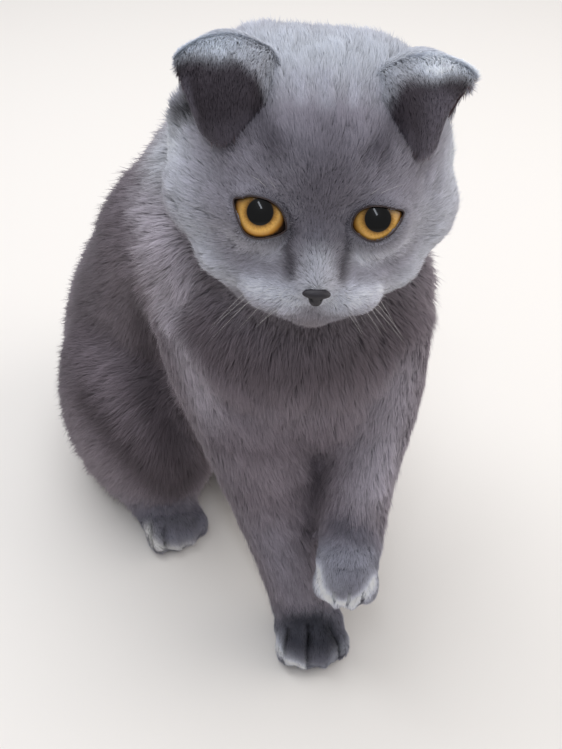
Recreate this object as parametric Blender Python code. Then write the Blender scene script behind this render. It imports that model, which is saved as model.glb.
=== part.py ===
"""A Scottish fold kitten, sitting with one forepaw lifted, as a still life-size model.

The cat faces -Y, its left side is at +X and it sits on the floor at Z = 0. Each
named part of the body is one closed solid that reaches out to the tips of the
coat, and parts that touch keep a thin gap between them.

Every place below is in centimetres in the sculpting frame, whose Z axis stands
under the middle of the head. Once all is built, the whole cat is moved so that
the origin lies at the bottom centre of its box.
"""

import math

import bmesh
import bpy
from mathutils import Matrix, Vector

CM = 0.01
GAP = 0.03

# The head, whose own frame looks along -Y with X to the cat's left.
HEAD_CENTRE = (0.85, 0.1, 14.95)
HEAD_PITCH = -2.0
HEAD_YAW = 2.0
HEAD_ROLL = 5.0
EYE_RADIUS = 0.84
EYE_PLACE = (1.5, -2.38, 0.22)
LID_THICKNESS = 0.13
GAZE_RISE = 27.0
GAZE_TURN = -4.0
EYE_HALF_WIDTH = 0.7
UPPER_LID_HEIGHT = 0.36
LOWER_LID_DEPTH = 0.6
LID_SLANT = 20.0
NOSE_PLACE = (0.0, -4.08, -1.2)

# Each ear has three lines from its inner to its outer edge, as the inner end, a middle
# control place and the outer end: the root on the skull, the fold, and the flap's lower edge.
# The last number is how far the flap's outer edge is notched inwards.
EAR_ROOT = ((1.45, 0.1, 3.3), (2.9, 3.0, 2.6), (3.75, 0.4, 1.4))
EARS = {
    "ear_right": (
        -1,
        ((1.7, -0.8, 3.4), (2.95, -0.15, 3.95), (4.05, 0.1, 3.05)),
        ((1.95, -1.85, 2.55), (2.55, -2.3, 1.7), (3.4, -1.1, 1.8)),
        0.0,
    ),
    "ear_left": (
        1,
        ((1.85, -1.05, 3.15), (3.1, 0.0, 3.85), (4.3, 0.05, 2.95)),
        ((2.05, -1.95, 2.4), (2.5, -2.3, 1.65), (2.95, -1.5, 1.95)),
        0.35,
    ),
}

# The body is turned from the way the face looks, and sits on its haunches.
BODY_TURN = 30.0
HIP_CENTRE = (-3.86, 5.75)

# Stations are a place, then half the width and half the depth of the limb there.
TRUNK = (
    ((-4.9, 7.6, 3.2), (4.0, 3.6)),
    ((-4.2, 6.6, 5.6), (4.0, 3.9)),
    ((-3.1, 5.0, 8.3), (3.9, 3.8)),
    ((-2.2, 3.8, 10.5), (3.8, 3.6)),
    ((-0.9, 1.9, 11.2), (3.8, 3.4)),
)
NECK = (
    ((-1.5, 3.6, 11.8), (3.5, 3.4)),
    ((-0.7, 2.9, 13.2), (3.4, 3.2)),
    ((0.6, 1.2, 14.4), (3.3, 3.1)),
)
CHEST = ((0.3, -0.2, 9.9), (4.0, 2.8, 3.4))
BRISKET = ((1.1, -0.8, 8.5), (2.4, 2.0, 2.5))
BELLY = ((-0.9, 2.4, 6.9), (3.3, 3.2, 3.3))
THIGH_RADII = (4.0, 2.75, 4.3)
THIGH_PLACE = (1.2, 2.45, 3.5)
HIND_PAW_PLACE = (4.55, 2.95, 0.62)
HEEL_PLACE = (-1.2, 3.0, 1.05)

FORELEG_RIGHT = (
    ((-1.9, 1.0, 11.2), (2.2, 2.4)),
    ((-1.75, -0.1, 9.6), (2.1, 2.1)),
    ((-1.15, -1.1, 7.9), (1.95, 1.85)),
    ((-0.65, -1.9, 6.4), (1.7, 1.6)),
    ((-0.2, -2.6, 5.0), (1.5, 1.4)),
    ((0.15, -3.2, 3.6), (1.25, 1.2)),
    ((0.55, -3.8, 2.2), (1.12, 1.1)),
    ((0.8, -4.2, 1.2), (1.05, 0.95)),
)
FORELEG_LEFT = (
    ((2.7, 1.0, 11.0), (2.1, 2.4)),
    ((3.0, 0.0, 9.3), (1.75, 2.0)),
    ((3.05, -0.9, 7.9), (1.45, 1.6)),
    ((2.8, -1.8, 6.7), (1.25, 1.3)),
    ((2.46, -2.95, 5.8), (1.13, 1.15)),
    ((2.26, -3.95, 5.2), (1.03, 1.0)),
    ((2.13, -4.55, 4.67), (0.97, 0.88)),
)
PAWS = {
    "forepaw_right": (FORELEG_RIGHT, (0.96, -4.72, 0.72), (0.0, 0.0, 8.0), 1.3),
    "forepaw_left": (FORELEG_LEFT, (2.05, -5.0, 4.42), (50.0, 0.0, -8.0), 1.08),
}

TAIL = (
    ((-5.6, 9.4, 2.6), (1.6, 1.6)),
    ((-5.2, 11.2, 1.4), (1.35, 1.3)),
    ((-3.0, 12.3, 1.05), (1.2, 1.2)),
    ((-0.2, 12.0, 0.98), (1.15, 1.15)),
    ((2.0, 10.4, 0.9), (1.1, 1.1)),
    ((3.3, 8.2, 0.75), (0.95, 0.95)),
)

COAT_GREY = (0.235, 0.225, 0.245)
NOSE_SLATE = (0.045, 0.04, 0.05)
EYE_AMBER = (0.66, 0.33, 0.06)


def metres(place):
    """A place in centimetres as a vector in metres."""
    return Vector(place) * CM


def clear_scene():
    for old in list(bpy.data.objects):
        bpy.data.objects.remove(old, do_unlink=True)


def make_material(name, colour, roughness):
    material = bpy.data.materials.new(name)
    material.use_nodes = True
    shader = material.node_tree.nodes["Principled BSDF"]
    shader.inputs["Base Color"].default_value = (*colour, 1.0)
    shader.inputs["Roughness"].default_value = roughness
    shader.inputs["Metallic"].default_value = 0.0
    return material


def object_from(name, form):
    """A new object from a bmesh, which is then freed."""
    bmesh.ops.recalc_face_normals(form, faces=form.faces)
    mesh = bpy.data.meshes.new(name)
    form.to_mesh(mesh)
    form.free()
    made = bpy.data.objects.new(name, mesh)
    bpy.context.scene.collection.objects.link(made)
    return made


def bake_modifiers(made):
    """Replaces the object's mesh with what its modifiers make of it."""
    graph = bpy.context.evaluated_depsgraph_get()
    mesh = bpy.data.meshes.new_from_object(made.evaluated_get(graph))
    made.modifiers.clear()
    made.data = mesh
    return made


def ellipsoid(centre, radii, turn=None, segments=32, rings=20):
    """A closed ellipsoid, its radii along its own turned axes."""
    form = bmesh.new()
    place = Matrix.Translation(metres(centre)) @ (turn.to_4x4() if turn else Matrix.Identity(4))
    bmesh.ops.create_uvsphere(form, u_segments=segments, v_segments=rings, radius=1.0)
    bmesh.ops.scale(form, vec=Vector(radii) * CM, verts=form.verts)
    bmesh.ops.transform(form, matrix=place, verts=form.verts)
    return object_from("ellipsoid", form)


def smooth_path(stations, steps):
    """Catmull-Rom places and radii through the stations, with this many steps between two."""
    count = len(stations)
    values = [(*place, *radii) for place, radii in stations]
    path = []
    for index in range(count - 1):
        before, start, end, after = (
            values[max(index - 1, 0)],
            values[index],
            values[index + 1],
            values[min(index + 2, count - 1)],
        )
        for step in range(steps):
            t = step / steps
            path.append(
                [
                    0.5
                    * (
                        2 * b
                        + (c - a) * t
                        + (2 * a - 5 * b + 4 * c - d) * t**2
                        + (3 * b - a - 3 * c + d) * t**3
                    )
                    for a, b, c, d in zip(before, start, end, after)
                ]
            )
    path.append(list(values[-1]))
    return [(Vector(value[:3]), value[3], value[4]) for value in path]


def limb(stations, sides=24, steps=5, grown=0.0, cap_rings=5):
    """A closed tube with round ends through the stations, grown outwards by that many centimetres."""
    path = smooth_path(stations, steps)
    side = Vector((1, 0, 0))
    rings = []
    for index, (place, half_width, half_depth) in enumerate(path):
        before = path[max(index - 1, 0)][0]
        after = path[min(index + 1, len(path) - 1)][0]
        along = (after - before).normalized()
        side = (side - along * side.dot(along)).normalized()
        rings.append((place, along, side, half_width + grown, half_depth + grown))

    def cap(ring, towards):
        place, along, across, half_width, half_depth = ring
        reach = min(half_width, half_depth)
        made = []
        for step in range(1, cap_rings):
            angle = math.pi / 2 * step / cap_rings
            shift = along * (towards * reach * math.sin(angle))
            scale = math.cos(angle)
            made.append((place + shift, along, across, half_width * scale, half_depth * scale))
        return made, place + along * (towards * reach)

    first_cap, first_tip = cap(rings[0], -1)
    last_cap, last_tip = cap(rings[-1], 1)
    rings = first_cap[::-1] + rings + last_cap
    form = bmesh.new()
    loops = []
    for place, along, across, half_width, half_depth in rings:
        other = along.cross(across)
        loop = []
        for corner in range(sides):
            angle = math.tau * corner / sides
            offset = across * (half_width * math.cos(angle)) + other * (half_depth * math.sin(angle))
            loop.append(form.verts.new((place + offset) * CM))
        loops.append(loop)
    for lower, upper in zip(loops, loops[1:]):
        for corner in range(sides):
            following = (corner + 1) % sides
            form.faces.new((lower[corner], lower[following], upper[following], upper[corner]))
    for tip, loop in ((first_tip, loops[0]), (last_tip, loops[-1])):
        point = form.verts.new(tip * CM)
        for corner in range(sides):
            form.faces.new((loop[corner], loop[(corner + 1) % sides], point))
    return object_from("limb", form)


def box(low, high):
    """A closed box between two corners."""
    form = bmesh.new()
    bmesh.ops.create_cube(form, size=1.0)
    middle = (metres(low) + metres(high)) / 2
    bmesh.ops.scale(form, vec=metres(high) - metres(low), verts=form.verts)
    bmesh.ops.translate(form, vec=middle, verts=form.verts)
    return object_from("box", form)


def copy_of(made):
    twin = made.copy()
    twin.data = made.data.copy()
    bpy.context.scene.collection.objects.link(twin)
    return twin


def boolean(made, tools, operation):
    """Joins, cuts or crops the object with each tool in turn, and removes the tools."""
    for tool in tools:
        step = made.modifiers.new(operation.title(), "BOOLEAN")
        step.operation = operation
        step.solver = "MANIFOLD"
        step.object = tool
        bake_modifiers(made)
        bpy.data.objects.remove(tool, do_unlink=True)
    return made


def union(name, pieces):
    """One body from a collection of overlapping closed pieces, which are removed."""
    first, *others = pieces
    group = bpy.data.collections.new(name)
    for piece in others:
        group.objects.link(piece)
    join = first.modifiers.new("Union", "BOOLEAN")
    join.operand_type = "COLLECTION"
    join.operation = "UNION"
    join.solver = "MANIFOLD"
    join.collection = group
    bake_modifiers(first)
    for piece in others:
        bpy.data.objects.remove(piece, do_unlink=True)
    bpy.data.collections.remove(group)
    first.name = name
    return first


def blend(made, voxel, rounds, faces):
    """Melts the creases of a union into one smooth surface of about this many triangles."""
    remesh = made.modifiers.new("Remesh", "REMESH")
    remesh.mode = "VOXEL"
    remesh.voxel_size = voxel * CM
    smooth = made.modifiers.new("Smooth", "SMOOTH")
    smooth.factor = 0.5
    smooth.iterations = rounds
    bake_modifiers(made)
    return keep_largest(thinned(made, faces))


def thinned(made, faces):
    """Brings the object down to about this many triangles."""
    triangles = sum(len(face.vertices) - 2 for face in made.data.polygons)
    thin = made.modifiers.new("Decimate", "DECIMATE")
    thin.ratio = min(1.0, faces / triangles)
    return bake_modifiers(made)


def keep_largest(made):
    """Leaves only the largest closed surface of the object."""
    form = bmesh.new()
    form.from_mesh(made.data)
    bmesh.ops.triangulate(form, faces=form.faces)
    waiting = set(form.verts)
    groups = []
    while waiting:
        front = [waiting.pop()]
        group = list(front)
        while front:
            vertex = front.pop()
            for edge in vertex.link_edges:
                other = edge.other_vert(vertex)
                if other in waiting:
                    waiting.remove(other)
                    front.append(other)
                    group.append(other)
        groups.append(group)
    groups.sort(key=len, reverse=True)
    loose = [vertex for group in groups[1:] for vertex in group]
    bmesh.ops.delete(form, geom=loose, context="VERTS")
    form.to_mesh(made.data)
    form.free()
    return made


def grown(made, distance):
    """A copy whose surface lies this many centimetres further out."""
    twin = copy_of(made)
    normals = [vertex.normal.copy() for vertex in twin.data.vertices]
    for vertex, normal in zip(twin.data.vertices, normals):
        vertex.co += normal * (distance * CM)
    return twin


def halves(source, place, normal):
    """The source split by a plane into the part behind it and the part before it, a gap apart."""
    parts = []
    for sign in (-1, 1):
        form = bmesh.new()
        form.from_mesh(source.data)
        direction = Vector(normal).normalized() * sign
        at = metres(place) + direction * (GAP * CM / 2)
        geometry = list(form.verts) + list(form.edges) + list(form.faces)
        cut = bmesh.ops.bisect_plane(form, geom=geometry, plane_co=at, plane_no=direction, clear_inner=True)
        edges = [item for item in cut["geom_cut"] if isinstance(item, bmesh.types.BMEdge)]
        bmesh.ops.triangle_fill(form, edges=edges, use_beauty=True)
        parts.append(keep_largest(object_from("half", form)))
    bpy.data.objects.remove(source, do_unlink=True)
    return parts


def turn_of(degrees):
    """The rotation by these angles about X, Y and Z, in that order."""
    x, y, z = (math.radians(angle) for angle in degrees)
    return Matrix.Rotation(z, 3, "Z") @ Matrix.Rotation(y, 3, "Y") @ Matrix.Rotation(x, 3, "X")


def head_turn():
    """The turn from the head's own frame to the sculpting frame."""
    return turn_of((HEAD_PITCH, HEAD_ROLL, HEAD_YAW))


def move_to_head(made):
    """Carries an object from the head's own frame to its place on the neck."""
    place = Matrix.Translation(metres(HEAD_CENTRE)) @ head_turn().to_4x4()
    made.data.transform(place)
    return made


def body_place(forward, out, height, side):
    """A place by its distance before the hips, out to one side and up. Side is 1 for left, -1 for right."""
    turn = math.radians(BODY_TURN)
    ahead = Vector((math.sin(turn), -math.cos(turn), 0))
    left = Vector((math.cos(turn), math.sin(turn), 0))
    at = Vector((*HIP_CENTRE, height)) + ahead * forward + left * (out * side)
    return tuple(at)


def body_turn():
    return Matrix.Rotation(math.radians(BODY_TURN - 90), 3, "Z")


def make_head_ball():
    """The skull, cheeks, brow, muzzle and chin as one blended form in the head's own frame."""
    bridge = (((0, -2.3, 0.5), (0.8, 0.7)), ((0, -3.1, -0.2), (0.6, 0.6)), ((0, -3.65, -0.9), (0.5, 0.5)))
    pieces = [
        ellipsoid((0, 0.65, 0.45), (4.05, 3.45, 3.45)),
        ellipsoid((0, -1.3, 1.25), (2.75, 2.0, 1.9)),
        ellipsoid((0, -1.2, -0.1), (3.0, 2.05, 1.9)),
        ellipsoid((0, -2.9, -2.15), (0.95, 0.85, 0.62)),
        ellipsoid((0, -0.9, -1.85), (2.7, 2.3, 1.7)),
        limb(bridge),
    ]
    for side in (-1, 1):
        pieces.append(ellipsoid((1.95 * side, -0.4, -0.2), (2.2, 2.15, 1.8)))
        pieces.append(ellipsoid((0.75 * side, -2.9, -1.62), (1.25, 1.08, 0.78)))
        pieces.append(ellipsoid((1.7 * side, -1.6, -1.35), (1.5, 1.3, 1.0)))
        pieces.append(ellipsoid((1.5 * side, -1.75, -0.75), (1.35, 1.25, 0.95)))
        pieces.append(ellipsoid((EYE_PLACE[0] * side, -2.2, EYE_PLACE[2]), (1.3, 0.95, 1.15)))
    return blend(union("head", pieces), 0.14, 14, 2200)


def gaze_axes(side):
    """Unit vectors outwards, up and towards the viewer, whom both eyes look at."""
    rise, turn = math.radians(GAZE_RISE), math.radians(GAZE_TURN)
    ahead = Vector((math.sin(turn) * math.cos(rise), -math.cos(turn) * math.cos(rise), math.sin(rise)))
    out = Vector((side, 0, 0))
    out = (out - ahead * out.dot(ahead)).normalized()
    up = ahead.cross(out) * side
    return out, up, ahead


def lid_outline(steps=24):
    """The opening between the lids, as seen along the gaze, outwards and up from the pupil."""
    slant = math.radians(LID_SLANT)
    points = []
    for step in range(steps):
        angle = math.tau * step / steps
        height = UPPER_LID_HEIGHT if math.sin(angle) > 0 else LOWER_LID_DEPTH
        out = EYE_HALF_WIDTH * math.cos(angle)
        up = height * math.copysign(abs(math.sin(angle)) ** 0.9, math.sin(angle))
        points.append((out * math.cos(slant) - up * math.sin(slant), out * math.sin(slant) + up * math.cos(slant)))
    return points


def lid_cutter(side):
    """A flaring prism from inside the eye out through the lids, which leaves the opening."""
    form = bmesh.new()
    out, up, ahead = gaze_axes(side)
    middle = Vector((EYE_PLACE[0] * side, EYE_PLACE[1], EYE_PLACE[2]))
    loops = []
    for depth, scale in ((0.1, 0.4), (EYE_RADIUS * 0.8, 1.0), (EYE_RADIUS * 2.4, 1.2)):
        places = [middle + ahead * depth + (out * x + up * z) * scale for x, z in lid_outline()]
        loops.append([form.verts.new(place * CM) for place in places])
    count = len(loops[0])
    for near, far in zip(loops, loops[1:]):
        for corner in range(count):
            following = (corner + 1) % count
            form.faces.new((near[corner], near[following], far[following], far[corner]))
    form.faces.new(loops[0])
    form.faces.new(loops[-1])
    return object_from("lid_cutter", form)


def mouth_cutters():
    """Thin curved grooves that part the lips, and the one under the nose."""
    cutters = []
    for side in (-1, 1):
        stations = (
            ((0.0, -4.05, -1.86), (0.06, 0.06)),
            ((0.4 * side, -4.0, -2.1), (0.08, 0.08)),
            ((0.95 * side, -3.6, -2.2), (0.09, 0.09)),
            ((1.5 * side, -2.95, -2.05), (0.06, 0.06)),
        )
        cutters.append(limb(stations, sides=8, steps=4, cap_rings=2))
    groove = (((0, -4.2, -1.4), (0.05, 0.05)), ((0, -4.12, -1.86), (0.07, 0.07)))
    cutters.append(limb(groove, sides=8, steps=3, cap_rings=2))
    return cutters


def make_nose():
    """The nose pad, a rounded triangle with a nostril at each side."""
    x, y, z = NOSE_PLACE
    pieces = [
        ellipsoid((x, y, z + 0.06), (0.33, 0.17, 0.15), segments=16, rings=10),
        ellipsoid((x, y + 0.02, z - 0.12), (0.19, 0.17, 0.2), segments=16, rings=10),
    ]
    nose = blend(union("nose", pieces), 0.05, 2, 260)
    nostrils = []
    for side in (-1, 1):
        stations = (
            ((x + 0.14 * side, y - 0.18, z - 0.08), (0.05, 0.05)),
            ((x + 0.25 * side, y - 0.12, z - 0.02), (0.045, 0.045)),
        )
        nostrils.append(limb(stations, sides=6, steps=2, cap_rings=2))
    return keep_largest(boolean(nose, nostrils, "DIFFERENCE"))


def bezier(line, t):
    """A place on the curve from the first to the last of three places."""
    first, middle, last = (Vector(place) for place in line)
    return first * (1 - t) ** 2 + middle * (2 * t * (1 - t)) + last * t**2


def ear_place(fold, edge, notch, across, along):
    """A place in the middle of the ear's thickness, along it from the root over the fold to the edge."""
    if along < 0.5:
        t = along * 2
        bulge = Vector((0.05, 0.45, 0.5)) * (math.sin(math.pi * t) * (0.3 + 0.7 * math.sin(math.pi * across)))
        return bezier(EAR_ROOT, across).lerp(bezier(fold, across), t) + bulge
    t = along * 2 - 1
    bulge = Vector((0.12 - notch * across**2, -0.2, 0.25)) * math.sin(math.pi * t)
    return bezier(fold, across).lerp(bezier(edge, across), t) + bulge


def make_ear(side, fold, edge, notch):
    """The folded ear: a cup that rises from the skull and a flap that hangs forward from it."""
    columns, rows = 8, 12
    middle = [
        [ear_place(fold, edge, notch, column / columns, row / rows) for column in range(columns + 1)]
        for row in range(rows + 1)
    ]
    form = bmesh.new()
    sheets = [[], []]
    for row in range(rows + 1):
        lines = ([], [])
        for column in range(columns + 1):
            before, after = max(column - 1, 0), min(column + 1, columns)
            below, above = max(row - 1, 0), min(row + 1, rows)
            across = middle[row][after] - middle[row][before]
            along = middle[above][column] - middle[below][column]
            normal = across.cross(along).normalized()
            rim = min(1.0, min(column, columns - column) / 2, (rows - row) / 3)
            half = 0.05 + 0.08 * math.sqrt(rim)
            for line, offset in zip(lines, (-half, half)):
                place = middle[row][column] + normal * offset
                line.append(form.verts.new(Vector((place.x * side, place.y, place.z)) * CM))
        for sheet, line in zip(sheets, lines):
            sheet.append(line)
    for sheet in sheets:
        for lower, upper in zip(sheet, sheet[1:]):
            for column in range(columns):
                form.faces.new((lower[column], lower[column + 1], upper[column + 1], upper[column]))
    rim = [(0, column) for column in range(columns)]
    rim += [(row, columns) for row in range(rows)]
    rim += [(rows, column) for column in range(columns, 0, -1)]
    rim += [(row, 0) for row in range(rows, 0, -1)]
    under, over = sheets
    for (row, column), (next_row, next_column) in zip(rim, rim[1:] + rim[:1]):
        form.faces.new(
            (under[row][column], under[next_row][next_column], over[next_row][next_column], over[row][column])
        )
    bmesh.ops.triangulate(form, faces=form.faces)
    return object_from("ear", form)


def make_paw(place, turn, width, leg, faces):
    """A paw with four toes, melted to the end of the leg above it."""
    spread = turn_of(turn)
    at = Vector(place)
    half = width / 1.3

    def out(x, y, z):
        return tuple(at + spread @ Vector((x * half, y, z)))

    pieces = [ellipsoid(out(0, 0.15, 0.12), (1.2 * half, 1.25, 0.85), spread), leg]
    for across, ahead in ((-0.86, 0.55), (-0.3, 0.78), (0.3, 0.78), (0.86, 0.55)):
        pieces.append(ellipsoid(out(across, -ahead, -0.08), (0.4 * half, 0.62, 0.6), spread, 20, 14))
    return blend(union("paw", pieces), 0.09, 2, faces)


def sit_on_floor(made):
    """Cuts off what lies under the floor, which leaves small flats to rest on."""
    return keep_largest(boolean(made, [box((-30, -30, -5), (30, 30, 0))], "DIFFERENCE"))


def make_flesh():
    """The trunk, neck, upper limbs and tail as one blended form."""
    pieces = [limb(TRUNK), limb(NECK), limb(TAIL), limb(FORELEG_RIGHT), limb(FORELEG_LEFT)]
    pieces += [ellipsoid(*CHEST), ellipsoid(*BRISKET), ellipsoid(*BELLY)]
    for side in (-1, 1):
        pieces.append(ellipsoid(body_place(*THIGH_PLACE, side), THIGH_RADII, body_turn()))
    return blend(union("torso", pieces), 0.17, 8, 3000)


def make_hindfoot(side):
    """The hind foot flat on the floor, from the heel to the toes."""
    heel = body_place(*HEEL_PLACE, side)
    ball = body_place(HIND_PAW_PLACE[0] - 0.4, HIND_PAW_PLACE[1], 0.8, side)
    shank = limb(((heel, (1.0, 1.1)), (ball, (1.1, 0.9))))
    centre = body_place(*HIND_PAW_PLACE, side)
    return make_paw(centre, (0.0, 0.0, BODY_TURN), 1.25, shank, 700)


def coarse_shell(made, faces):
    """A simple form that lies just outside the object, to hollow its neighbours with."""
    return thinned(grown(made, 3 * GAP), faces)


def split_off(rest, cell):
    """Takes what lies inside the cell out of the rest, and leaves a gap between the two."""
    part = keep_largest(boolean(copy_of(rest), [copy_of(cell)], "INTERSECT"))
    boolean(rest, [grown(cell, GAP)], "DIFFERENCE")
    bpy.data.objects.remove(cell, do_unlink=True)
    return part


def make_head():
    """The head with its eyes, nose and ears, each a gap apart, and a coarse form just outside the skull."""
    ball = make_head_ball()
    skull = coarse_shell(ball, 700)
    carve = mouth_cutters()
    parts = {}
    for side, name in ((-1, "eye_right"), (1, "eye_left")):
        centre = (EYE_PLACE[0] * side, EYE_PLACE[1], EYE_PLACE[2])
        boolean(ball, [ellipsoid(centre, [EYE_RADIUS + LID_THICKNESS] * 3, segments=24, rings=16)], "UNION")
        carve.append(ellipsoid(centre, [EYE_RADIUS + 2 * GAP] * 3, segments=16, rings=12))
        carve.append(lid_cutter(side))
        parts[name] = ellipsoid(centre, [EYE_RADIUS] * 3, segments=20, rings=12)
    parts["nose"] = make_nose()
    carve.append(grown(parts["nose"], GAP))
    for name, ear in EARS.items():
        parts[name] = keep_largest(boolean(make_ear(*ear), [grown(ball, GAP)], "DIFFERENCE"))
    parts["head"] = keep_largest(boolean(ball, carve, "DIFFERENCE"))
    return {name: move_to_head(made) for name, made in parts.items()}, move_to_head(skull)


def make_legs(flesh):
    """The forelegs and forepaws, split off the flesh and cut apart at the wrist."""
    parts = {}
    for name, (leg, place, turn, width) in PAWS.items():
        shin = split_off(flesh, limb(leg[1:], 16, 2, 0.35, 4))
        paw = make_paw(place, turn, width, limb(leg[-3:]), 800)
        wrist = (Vector(leg[-2][0]) + Vector(leg[-1][0])) / 2
        down = Vector(leg[-1][0]) - Vector(leg[-2][0])
        upper, lower = halves(shin, wrist, down)
        bpy.data.objects.remove(lower, do_unlink=True)
        above, paw = halves(paw, wrist, down)
        bpy.data.objects.remove(above, do_unlink=True)
        parts[name] = paw
        parts[name.replace("forepaw", "foreleg")] = upper
    return parts


def make_body(skull):
    """The neck, trunk, legs and tail, each a gap apart, hollowed where the skull sits."""
    flesh = boolean(make_flesh(), [skull], "DIFFERENCE")
    parts = {}
    for side, name in ((-1, "hindfoot_right"), (1, "hindfoot_left")):
        parts[name] = make_hindfoot(side)
        boolean(flesh, [coarse_shell(parts[name], 300)], "DIFFERENCE")
    parts.update(make_legs(flesh))
    for side, name in ((-1, "thigh_right"), (1, "thigh_left")):
        radii = [radius + 0.25 for radius in THIGH_RADII]
        parts[name] = split_off(flesh, ellipsoid(body_place(*THIGH_PLACE, side), radii, body_turn(), 20, 12))
    tail = split_off(flesh, limb(TAIL[1:], 16, 2, 0.5, 4))
    parts["tail_base"], tail = halves(tail, TAIL[2][0], Vector(TAIL[3][0]) - Vector(TAIL[1][0]))
    parts["tail_middle"], parts["tail_tip"] = halves(tail, TAIL[4][0], Vector(TAIL[5][0]) - Vector(TAIL[3][0]))
    parts["neck"] = split_off(flesh, limb(NECK, 16, 2, 0.4, 4))
    parts["torso"] = keep_largest(flesh)
    return parts


def dress(made, name, material, sharp=40):
    """Names a finished part, gives it its finish and rounds its shading."""
    made.name = name
    made.data.name = name
    made.data.materials.clear()
    made.data.materials.append(material)
    made.data.shade_smooth()
    made.data.set_sharp_from_angle(angle=math.radians(sharp))


def move_to_origin(parts):
    """Moves the whole cat so that the origin is at the bottom centre of its box."""
    places = [vertex.co for made in parts for vertex in made.data.vertices]
    low = Vector([min(place[axis] for place in places) for axis in range(3)])
    high = Vector([max(place[axis] for place in places) for axis in range(3)])
    shift = Vector((-(low.x + high.x) / 2, -(low.y + high.y) / 2, -low.z))
    for made in parts:
        made.data.transform(Matrix.Translation(shift))


def main():
    clear_scene()
    coat = make_material("grey_coat", COAT_GREY, 0.9)
    finishes = {
        "nose": make_material("nose_skin", NOSE_SLATE, 0.45),
        "eye": make_material("amber_eye", EYE_AMBER, 0.1),
    }
    parts, skull = make_head()
    parts.update(make_body(skull))
    for name, made in parts.items():
        if made.data.vertices and min(vertex.co.z for vertex in made.data.vertices) < 0:
            sit_on_floor(made)
        dress(made, name, finishes.get(name.split("_")[0], coat))
    move_to_origin(list(parts.values()))


if __name__ == "__main__":
    main()
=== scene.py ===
"""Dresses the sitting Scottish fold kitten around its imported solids.

One skin lies under a coat of solid tufts, with lids, eyeballs, nose leather and whiskers. Places are
in centimetres in the sculpting frame, in which the solids were modelled, unless a name says otherwise:
the cat faces -Y, its left side is at +X and the floor is at Z = 0. The eyes of the solids say where
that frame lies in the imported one.
"""

from __future__ import annotations

import itertools
import logging
import math
from dataclasses import dataclass
from enum import Enum

import bmesh
import bpy
import numpy as np
from mathutils import Matrix, Vector
from mathutils.bvhtree import BVHTree

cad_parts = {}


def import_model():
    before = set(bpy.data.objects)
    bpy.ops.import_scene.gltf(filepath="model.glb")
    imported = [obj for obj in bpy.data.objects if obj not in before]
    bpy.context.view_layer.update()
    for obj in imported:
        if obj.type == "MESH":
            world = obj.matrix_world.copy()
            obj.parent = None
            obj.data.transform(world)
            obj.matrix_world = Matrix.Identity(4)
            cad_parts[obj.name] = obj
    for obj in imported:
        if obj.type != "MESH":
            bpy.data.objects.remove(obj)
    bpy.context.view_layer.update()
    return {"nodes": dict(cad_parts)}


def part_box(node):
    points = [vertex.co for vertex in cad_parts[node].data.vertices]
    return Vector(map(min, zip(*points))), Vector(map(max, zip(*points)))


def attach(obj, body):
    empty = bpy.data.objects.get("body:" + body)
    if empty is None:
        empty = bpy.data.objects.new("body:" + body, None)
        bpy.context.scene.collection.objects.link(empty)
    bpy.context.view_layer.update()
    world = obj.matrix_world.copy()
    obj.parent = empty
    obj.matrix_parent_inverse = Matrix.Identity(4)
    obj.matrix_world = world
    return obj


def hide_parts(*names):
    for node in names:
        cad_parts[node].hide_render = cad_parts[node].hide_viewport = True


LOG = logging.getLogger("kitten")
# One centimetre in metres, and one millimetre in centimetres.
CM = 0.01
MM = 0.1
SEED = 11
# The name of the surface map, and how much of it one tuft has.
BAKE_MAP = "OFBake"
TUFT_PATCH = 0.003
# The points of a tuft's two triangles: 0 is its root, 1 and 2 are where it is widest, and 3 is its tip.
BLADE = (0, 1, 2, 2, 1, 3)
# The name of the colour that is stored on points.
COAT_COLOUR = "Coat"
# How far the body is turned from the way the face looks, and a place in the trunk's upright middle plane.
BODY_TURN = math.radians(30)
HIPS = (-3.86, 5.75, 0.0)

Place = tuple[float, float, float]
Line = tuple[Place, ...]


class Side(Enum):
    """A side of the cat, with the sign of X on that side of the head."""

    LEFT = 1
    RIGHT = -1


class Space(Enum):
    """The frame in which a marking's places are given."""

    HEAD = "head"
    BODY = "body"


def linear(colour: str) -> tuple[float, float, float]:
    """Turns an sRGB hex colour to linear light.

    Args:
        colour: Six hex digits, such as "8f8d96".

    Returns:
        The red, green and blue values from 0 to 1.
    """
    parts = [int(colour[place : place + 2], 16) / 255 for place in (0, 2, 4)]
    red, green, blue = (
        part / 12.92 if part <= 0.04045 else ((part + 0.055) / 1.055) ** 2.4 for part in parts
    )
    return red, green, blue


def add_node(
    tree: bpy.types.NodeTree, kind: str, settings: dict | None = None, inputs: dict | None = None
) -> bpy.types.Node:
    """Adds a node to a tree.

    Args:
        tree: The node tree that takes it.
        kind: The node's type name.
        settings: Attributes of the node and their values.
        inputs: Input sockets by name or number, each with a value or with the output socket that feeds it.

    Returns:
        The new node.
    """
    node = tree.nodes.new(kind)
    for name, value in (settings or {}).items():
        setattr(node, name, value)
    for name, value in (inputs or {}).items():
        if isinstance(value, bpy.types.NodeSocket):
            tree.links.new(value, node.inputs[name])
        else:
            node.inputs[name].default_value = value
    return node


def new_material(name: str) -> tuple[bpy.types.Material, bpy.types.NodeTree]:
    """Makes a material with an empty node tree.

    Args:
        name: The material's name.

    Returns:
        The material and its tree.
    """
    material = bpy.data.materials.new(name)
    material.use_nodes = True
    material.node_tree.nodes.clear()
    return material, material.node_tree


def unit(vectors: np.ndarray) -> np.ndarray:
    """The vectors at length one, along the last axis."""
    return vectors / np.maximum(np.linalg.norm(vectors, axis=-1, keepdims=True), 1e-9)


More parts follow.
